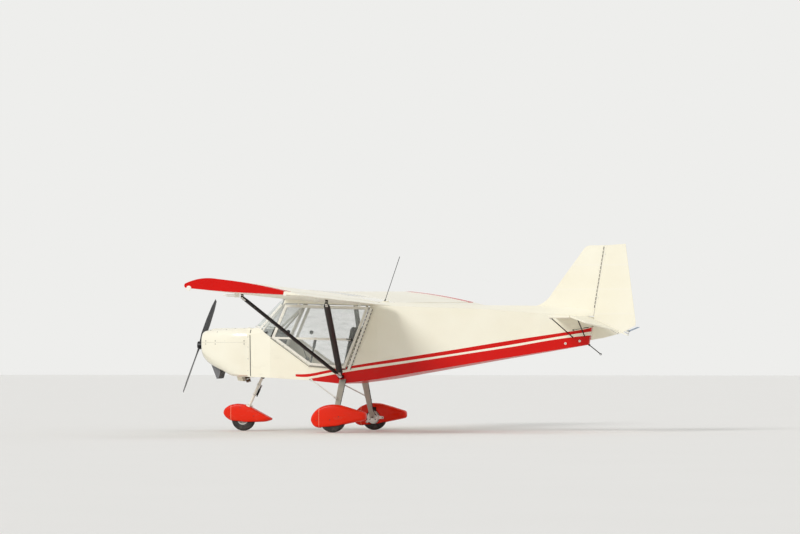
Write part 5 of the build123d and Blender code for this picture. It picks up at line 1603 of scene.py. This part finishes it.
def makeNoseParts():
    places = []
    for k in range(nose["bolts"]):
        angle = math.tau * k / nose["bolts"] + nose["firstBolt"]
        y, z = math.cos(angle) * nose["boltCircle"], thrustZ + math.sin(angle) * nose["boltCircle"]
        places.append((meet(nodes["propeller"], (nose["ahead"], y, z), (1, 0, 0))[0], (-1, 0, 0)))
    screws("propeller_bolts", places, 0.0065, 0.010, body="propeller")
    spot = meet(nodes["propeller"], (nose["ahead"], 0, thrustZ), (1, 0, 0))[0]
    cap = lathe("propeller_cap", [(-0.001, 0.0), (-0.001, 0.021), (0.004, 0.022), (0.008, 0.018),
                                  (0.011, 0.010), (0.012, 0.0)],
                spot, (-1, 0, 0), 40)
    complete(cap, darkSteel, "propeller")
    side, half = nose["radiatorSide"], nose["radiatorHalf"]
    midX, midZ = sum(x for x, z in side) / len(side), sum(z for x, z in side) / len(side)
    tanks = []
    for way in (-1, 1):
        grown = [(midX + (x - midX) * 1.03, midZ + (z - midZ) * 1.015) for x, z in side]
        tank = plateFrom("tank", [(x - midX, z - midZ) for x, z in grown], (midX, midZ), way * (half - 0.006),
                         way * (half + 0.005), 0.002)
        tanks.append(tidyNormals(tank))
    for (x0, z0), (x1, z1) in zip(side, side[1:3]):
        for x, z, width in ((x0, z0, 0.012), (x1, z1, 0.010)):
            path = between((x, -half, z), (x, half, z), 3)
            tanks.append(strip("edge", path, width, 0.003, (x - midX, 0, z - midZ)))
    unite("radiator_tanks", tanks, castMetal, smooth=40)
    (x0, z0), (x1, z1), radius = nose["exhaust"]
    start, run = Vector((x0, 0, z0)), (Vector((x1, 0, z1)) - Vector((x0, 0, z0)))
    clamp = lathe("exhaust_clamp", [(0.058, radius - 0.001), (0.058, radius + 0.003),
                                    (0.061, radius + 0.0045), (0.071, radius + 0.0045),
                                    (0.074, radius + 0.003), (0.074, radius - 0.001),
                                    (0.058, radius - 0.001)], start, run, 40)
    lip = lathe("lip", [(run.length - 0.005, radius - 0.004), (run.length - 0.005, radius + 0.001),
                        (run.length - 0.001, radius + 0.0025), (run.length + 0.001, radius),
                        (run.length + 0.001, radius - 0.004), (run.length - 0.005, radius - 0.004)], start,
                run, 40)
    bolt = boltWithNut("bolt", start + run.normalized() * 0.066 + Vector((0, radius + 0.008, 0)), (1, 0, 0.3),
                       0.010, 0.003)
    unite("exhaust_clamp", [clamp, lip, bolt], brightSteel)
    upper, lower = bpy.data.objects["cowl_upper_shell"], bpy.data.objects["cowl_lower_shell"]
    x, y = nose["cap"]
    spot, facing = meet(upper, (x, y, 2), (0, 0, -1))
    cap = lathe("cowl_top_cap", [(-0.004, 0.0), (-0.004, 0.024), (0.003, 0.026), (0.008, 0.024),
                                 (0.013, 0.018), (0.016, 0.009), (0.017, 0.0)], spot, facing, 36)
    complete(cap, whitePlastic)
    lips = []
    inlet = cowling["inlet"]
    for way in (-1, 1):
        loop = []
        for k in range(40):
            angle = math.tau * k / 40
            y = way * inlet["y"] + boxier(math.cos(angle), 0.55) * (inlet["half"] + 0.003)
            z = inlet["z"] + boxier(math.sin(angle), 0.6) * (inlet["tall"] + 0.003)
            try:
                loop.append(meet(upper if z > cowling["split"] else lower, (nose["ahead"], y, z),
                                 (1, 0, 0))[0])
            except ValueError:  # the line went into the gap between the two halves
                pass
        lips.append(tube("lip", loop + loop[:1], 0.004, True, 3))
    unite("inlet_lips", lips, sealRubber, smooth=60)
    places = [meet(upper, (x, way * y, 2), (0, 0, -1)) for x, y in nose["topScrews"]
              for side, way in bothSides]
    screws("cowl_top_screws", places, 0.0055, 0.004, darkSteel)


makeNoseParts()
print("nose details made")

# windscreen: screwed bands along its foot and head
screen = {
    "edges": {"foot": ((-2.088, 1.345), (-1.925, 0.430, 1.314)),  # the middle's x and z, and one end
              "head": ((-1.606, 1.722), (-1.584, 0.532, 1.688))},
    "width": 0.030,
    "points": 25,
}


def arcThrough(middle, end, count):  # points of the round edge from one end over the middle to the other
    middle = Vector((middle[0], 0, middle[1]))
    sag = Vector((end[0], 0, end[2])) - middle
    radius = (end[1] ** 2 + sag.length ** 2) / (2 * sag.length)
    centre = middle + sag.normalized() * radius
    reach = math.atan2(end[1], radius - sag.length)
    spots = []
    for k in range(count):
        angle = reach * (2 * k / (count - 1) - 1)
        spots.append(centre - sag.normalized() * (radius * math.cos(angle))
                     + Vector((0, radius * math.sin(angle), 0)))
    return spots


edges = {name: arcThrough(middle, end, screen["points"]) for name, (middle, end) in screen["edges"].items()}
for name, other in (("foot", "head"), ("head", "foot")):
    line, facings = [], []
    for k, spot in enumerate(edges[name]):
        along = (edges[name][min(k + 1, screen["points"] - 1)] - edges[name][max(k - 1, 0)]).normalized()
        slope = (edges[other][k] - spot).normalized()
        facing = along.cross(slope).normalized()
        if facing.dot(Vector((-1, 0, 0.6))) < 0:
            facing = -facing
        facings.append(facing)
        line.append(spot + slope * (screen["width"] * 0.45) + facing * 0.0015)
    band = strip("windscreen_" + name + "_band", line, screen["width"], 0.003, facings)
    complete(band, whitePlastic, smooth=50)
    places = [(line[k] + facings[k] * 0.004, facings[k]) for k in range(1, 24, 2)]
    screws("windscreen_" + name + "_screws", places, 0.0045, 0.004)

# doors: vent knob, latch handle, and the edge screws
doors = {
    "vent": (-1.517, 0.549, 1.275), "latch": (-0.672, 1.170), "y": 0.555,
    # the lever's line: x and z from the latch, and y
    "handle": ((0, 0.560, 0), (0, 0.568, 0), (-0.012, 0.572, 0.002), (-0.070, 0.572, 0.010)),
    "screwStep": 0.11,
    "outline": [(-1.545, 1.600), (-1.722, 1.196), (-1.236, 0.862), (-0.778, 0.818), (-0.462, 1.576)],
}
for side, way in bothSides:
    body = "door_" + side
    x, y, z = doors["vent"]
    knob = lathe("vent_" + side, [(-0.009, 0.0), (-0.009, 0.024), (-0.006, 0.026), (-0.003, 0.026),
                                  (-0.002, 0.023), (0.006, 0.022), (0.014, 0.021), (0.018, 0.017),
                                  (0.018, 0.0)], (x, way * y, z), (0, way, 0), 40)
    complete(knob, blackPlastic, body)
    x, z = doors["latch"]
    base = lathe("base", [(-0.002, 0.0), (-0.002, 0.017), (0.004, 0.018), (0.007, 0.014), (0.007, 0.0)],
                 (x, way * doors["y"], z), (0, way, 0), 32)
    path = [(x + dx, way * y, z + dz) for dx, y, dz in doors["handle"]]
    lever = tube("lever", path, 0.0055, True, 4)
    unite("door_handle_" + side, [base, lever], blackPlastic, body)
    places = []
    corners = doors["outline"]
    for (x0, z0), (x1, z1) in zip(corners, corners[1:]):
        count = max(3, int(math.hypot(x1 - x0, z1 - z0) / doors["screwStep"]))
        places += alongLine((x0, way * doors["y"], z0), (x1, way * doors["y"], z1), count, (0, way, 0), 0.08)
    screws("door_screws_" + side, places, 0.0045, 0.004, body=body)
print("screen and doors detailed")

# tail: strut fittings, rudder horn and cables, tab rods, the eye on the rod below and the fin's lacing
tail = {
    "bodyFittings": ((2.180, 1.154), (2.005, 1.123)),
    "strutTops": ((1.992, 0.900), (2.262, 0.600)),
    "strutTopZ": 1.439,
    "hornZ": 1.338, "slope": 0.163, "hingeTop": (2.516, 2.366),
    "cableStart": (2.102, 1.293),
    "rodEnd": (2.436, 0.990), "rodStart": (2.262, 1.128),
    "elevatorHinge": (2.300, 1.452), "droop": 22,
    "tabRods": ((-0.356, 0.468), (0.360, 0.458)),
    "lacing": (1.575, 0.049, 0.037, 16),  # the first dash's z, the step, a dash's length, and how many
}


def onElevator(u, y, h=0.0):  # back along the drooped elevator, and up from it
    x, z = tail["elevatorHinge"]
    lean = math.radians(tail["droop"])
    return Vector((x + u * math.cos(lean) + h * math.sin(lean), y,
                   z - u * math.sin(lean) + h * math.cos(lean)))


def makeTailParts():
    hingeX = tail["hingeTop"][0] - (tail["hingeTop"][1] - tail["hornZ"]) * tail["slope"]
    fittings, bolts = [], []
    for way in (-1, 1):
        for x, z in tail["bodyFittings"]:
            spot, facing = meet(nodes["aft_fuselage"], (x, way * 1.2, z), (0, -way, 0))
            fittings.append(lathe("washer", [(-0.002, 0.0), (-0.002, 0.015), (0.002, 0.016), (0.005, 0.013),
                                             (0.005, 0.0)],
                                  spot, facing, 28))
            bolts.append((spot + facing * 0.006, facing))
        for x, y in tail["strutTops"]:
            z = tail["strutTopZ"]
            y *= way
            fittings.append(block("plate", (x - 0.024, y - 0.011, z - 0.004),
                                  (x + 0.024, y + 0.011, z + 0.001), 0.0015))
            fittings.append(block("lug", (x - 0.010, y - 0.003, z - 0.022), (x + 0.010, y + 0.003, z - 0.001),
                                  0.001))
            bolts += [((x + dx, y, z - 0.0045), (0, 0, -1)) for dx in (-0.017, 0.017)]
    unite("tail_fittings", fittings, whiteTube)
    screws("tail_bolts", bolts, 0.0055, 0.005)
    horn = plateFrom("rudder_horn", [(-0.008, 0.0), (0.0, 0.076), (0.012, 0.078), (0.024, 0.006),
                                     (0.024, -0.006), (0.012, -0.078), (0.0, -0.076)], (0, 0), -0.003, 0.003,
                     0.001)
    horn.location = (hingeX + 0.014, 0, tail["hornZ"])
    horn.rotation_euler = (math.radians(90), 0, 0)
    settle(horn)
    complete(tidyNormals(horn), whiteTube, "rudder")
    cables = []
    for way in (-1, 1):
        x, z = tail["cableStart"]
        spot, facing = meet(nodes["aft_fuselage"], (x, way * 1.2, z), (0, -way, 0))
        end = Vector((hingeX + 0.019, way * 0.070, tail["hornZ"] + 0.002))
        cables.append(bar("cable", spot, end, 0.0022, sides=10))
        run = (end - spot).normalized()
        cables.append(lathe("barrel", [(-0.034, 0.0), (-0.034, 0.0035), (-0.026, 0.0058), (0.026, 0.0058),
                                       (0.034, 0.0035), (0.034, 0.0)], spot.lerp(end, 0.62), run, 14))
        cables.append(lathe("guide", [(-0.003, 0.0), (-0.003, 0.011), (0.003, 0.010), (0.004, 0.0)], spot,
                            facing, 20))
    cables = unite("rudder_cables", cables, darkSteel, None)  # it runs between two bodies and is attached to neither
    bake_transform(cables)
    rods = []
    for y, tab in tail["tabRods"]:
        low = onElevator(tab - 0.150, y, -0.012)
        high = onElevator(tab + 0.012, y, -0.034)
        rods.append(bar("rod", low, high, 0.0028, sides=12))
        rods.append(bar("horn", high, onElevator(tab + 0.012, y, -0.004), 0.0032, 0.0008, 10))
        rods.append(lathe("end", [(-0.008, 0.0), (-0.008, 0.005), (0.008, 0.005), (0.008, 0.0)], high,
                          (0, 1, 0), 14))
        rods.append(lathe("end", [(-0.010, 0.0), (-0.010, 0.006), (0.010, 0.006), (0.010, 0.0)], low,
                          (0, 1, 0), 14))
    unite("tab_rods", rods, brightSteel, "elevator")
    (x0, z0), (x1, z1) = tail["rodStart"], tail["rodEnd"]
    way = Vector((x1 - x0, 0, z1 - z0)).normalized()
    centre = Vector((x1, 0, z1)) + way * 0.004
    eye = add(bpy.ops.mesh.primitive_torus_add, "rod_eye", location=centre, rotation=(math.radians(90), 0, 0),
              major_radius=0.011, minor_radius=0.0035, major_segments=32, minor_segments=12)
    collar = lathe("collar", [(-0.001, 0.0), (-0.001, 0.013), (0.004, 0.014), (0.009, 0.013), (0.009, 0.0)],
                   (x0 + way.x * 0.038, 0, z0 + way.z * 0.038), way, 28)
    unite("rod_eye", [settle(eye), collar], darkSteel)
    dashes = []
    start, step, length, count = tail["lacing"]
    for side, way in bothSides:  # the dark laced gap between fin and rudder
        for k in range(count):
            spots = []
            for z in (start + step * k, start + length + step * k):
                x = tail["hingeTop"][0] - (tail["hingeTop"][1] - z) * tail["slope"] - 0.0275
                spot, facing = meet(nodes["fin"], (x, way * 0.4, z), (0, -way, 0))
                spots.append(spot + facing * 0.0005)
            dashes.append(bar("dash", spots[0], spots[1], 0.0036, sides=8))
    unite("fin_lacing", dashes, sealRubber)


makeTailParts()
print("tail details made")

# wing controls: horns on the moving surfaces, with a short rod from the wing
controls = {"places": (("flap", 1.55), ("aileron", 3.60)), "drop": 0.055}
for side, way in bothSides:
    for kind, y in controls["places"]:
        body = kind + "_" + side
        node = nodes[body]
        low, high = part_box(body)
        spot, facing = meet(node, (low[0] + 0.070, way * y, 1.0), (0, 0, 1))
        tip = spot - Vector((0.012, 0, controls["drop"] * 0.8))
        horn = strip("horn", between(spot + Vector((0, -0.002, 0.004)), tip, 4), 0.020, 0.004, (0, 1, 0))
        eye = lathe("eye", [(-0.004, 0.0), (-0.004, 0.008), (0.006, 0.008), (0.006, 0.0)], tip, (0, 1, 0), 16)
        unite(body + "_horn", [horn, eye], whiteTube, body)
        start, facing = meet(nodes["wing_" + side], (low[0] - 0.16, way * (y + 0.012), 1.0), (0, 0, 1))
        end = tip + Vector((-0.014, way * 0.012, 0.002))
        rod = bar("rod", start, end, 0.0035, sides=12)
        guide = lathe("guide", [(-0.003, 0.0), (-0.003, 0.020), (0.002, 0.020), (0.004, 0.008), (0.004, 0.0)],
                      start, facing, 24)
        unite(body + "_rod", [rod, guide], whiteTube)

# drain rings and screws below the body, and the aerial's collar and flange on top
below = {"rings": (-0.30, 0.10, 0.50, 0.90, 1.30, 1.70), "ring": 0.013, "screws": (-2.03, -0.87, 14)}
size = below["ring"]
profile = [(-0.001, size * 0.35), (-0.001, size), (0.0018, size * 0.95), (0.0028, size * 0.75),
           (0.0028, size * 0.4), (-0.001, size * 0.35)]
rings = []
for x in below["rings"]:
    for y in (-0.11, 0.11):
        spot, facing = meet(nodes["aft_fuselage"], (x, y if x < 0.8 else y * 0.5, 0.2), (0, 0, 1))
        rings.append(lathe("ring", profile, spot, facing, 22))
unite("drain_rings", rings, whitePlastic)
x0, x1, count = below["screws"]
places = []
for side, way in bothSides:
    for k in range(count):
        x = x0 + (x1 - x0) * k / (count - 1)
        y = way * (0.355 + 0.125 * min(1, (x - edging["sectionX"][0]) / edging["sectionX"][1]))
        places.append(meet(nodes["cabin_tub"], (x, y, 0.2), (0, 0, 1)))
screws("belly_screws", places, 0.0045, 0.003)
collar = lathe("aerial_collar", [(0.0, 0.0), (0.0, 0.011), (0.012, 0.011), (0.020, 0.0075), (0.034, 0.0065),
                                 (0.036, 0.0)],
               (-0.388, 0, 1.662), (0.204, 0, 0.608), 28)
complete(collar, blackPlastic)
flange = lathe("aerial_flange", [(0.0, 0.050), (0.0, 0.068), (0.003, 0.070), (0.006, 0.066), (0.009, 0.062),
                                 (0.0, 0.050)],
               (-0.392, 0, 1.645), (0.05, 0, 1), 44)
complete(flange, whitePlastic)
print("controls and small parts made")

# floor, lights and camera
studio = {"floor": (232, 231, 228), "floorSize": 400, "worldStrength": 0.55, "keyStrength": 1.65,
          "keySoftness": 24, "fillStrength": 0.55, "fillSoftness": 60, "keyWay": (0.45, 1.0, -0.62),
          "fillWay": (-0.7, -0.5, -0.9), "grey": (222, 221, 217), "sky": (238, 238, 236)}
floor = add(bpy.ops.mesh.primitive_plane_add, "floor", size=studio["floorSize"], location=(0, 0, 0))
floorFinish = Finish("floorFinish", screenColour(*studio["floor"]), 0.7)
floorFinish.set("baseColor", floorFinish.blendColour(floorFinish.noise(0.6, 4) * 0.25,
                                                     screenColour(*studio["floor"]),
                                                     screenColour(*studio["grey"])))
floor.data.materials.append(floorFinish.material)


def lamp(name, strength, softness, direction):
    light = bpy.data.lights.new(name, "SUN")
    light.energy = strength
    light.angle = math.radians(softness)
    holder = bpy.data.objects.new(name, light)
    holder.rotation_euler = Vector(direction).to_track_quat("-Z", "Y").to_euler()
    bpy.context.scene.collection.objects.link(holder)


for name in ("key", "fill"):
    lamp(name + "Lamp", studio[name + "Strength"], studio[name + "Softness"], studio[name + "Way"])

world = bpy.data.worlds.new("studio")
bpy.context.scene.world = world
world.use_nodes = True
tree = world.node_tree
tree.nodes.clear()
output = tree.nodes.new("ShaderNodeOutputWorld")
paths = tree.nodes.new("ShaderNodeLightPath")
lit, seen = [tree.nodes.new("ShaderNodeBackground") for k in range(2)]
mixed = tree.nodes.new("ShaderNodeMixShader")
lit.inputs["Color"].default_value = (1, 1, 1, 1)
lit.inputs["Strength"].default_value = studio["worldStrength"]
seen.inputs["Color"].default_value = screenColour(*studio["sky"])
seen.inputs["Strength"].default_value = 1.0
shown = paths.outputs["Is Camera Ray"]
for other in ("Is Transmission Ray", "Is Glossy Ray"):
    either = tree.nodes.new("ShaderNodeMath")
    either.operation = "MAXIMUM"
    tree.links.new(shown, either.inputs[0])
    tree.links.new(paths.outputs[other], either.inputs[1])
    shown = either.outputs[0]
tree.links.new(shown, mixed.inputs[0])
tree.links.new(lit.outputs[0], mixed.inputs[1])
tree.links.new(seen.outputs[0], mixed.inputs[2])
tree.links.new(mixed.outputs[0], output.inputs["Surface"])
bpy.context.scene.view_settings.view_transform = "Standard"

cameraPlace = {"location": (12.870, -50.334, 0.90), "turn": (91.329, 0, 14.54), "lens": 182.52}
lensData = bpy.data.cameras.new("camera")
lensData.lens = cameraPlace["lens"]
lensData.sensor_width = 36
lensData.clip_end = 500
camera = bpy.data.objects.new("camera", lensData)
camera.location = cameraPlace["location"]
camera.rotation_euler = [math.radians(angle) for angle in cameraPlace["turn"]]
bpy.context.scene.collection.objects.link(camera)
bpy.context.scene.camera = camera
print("floor, lights and camera set")
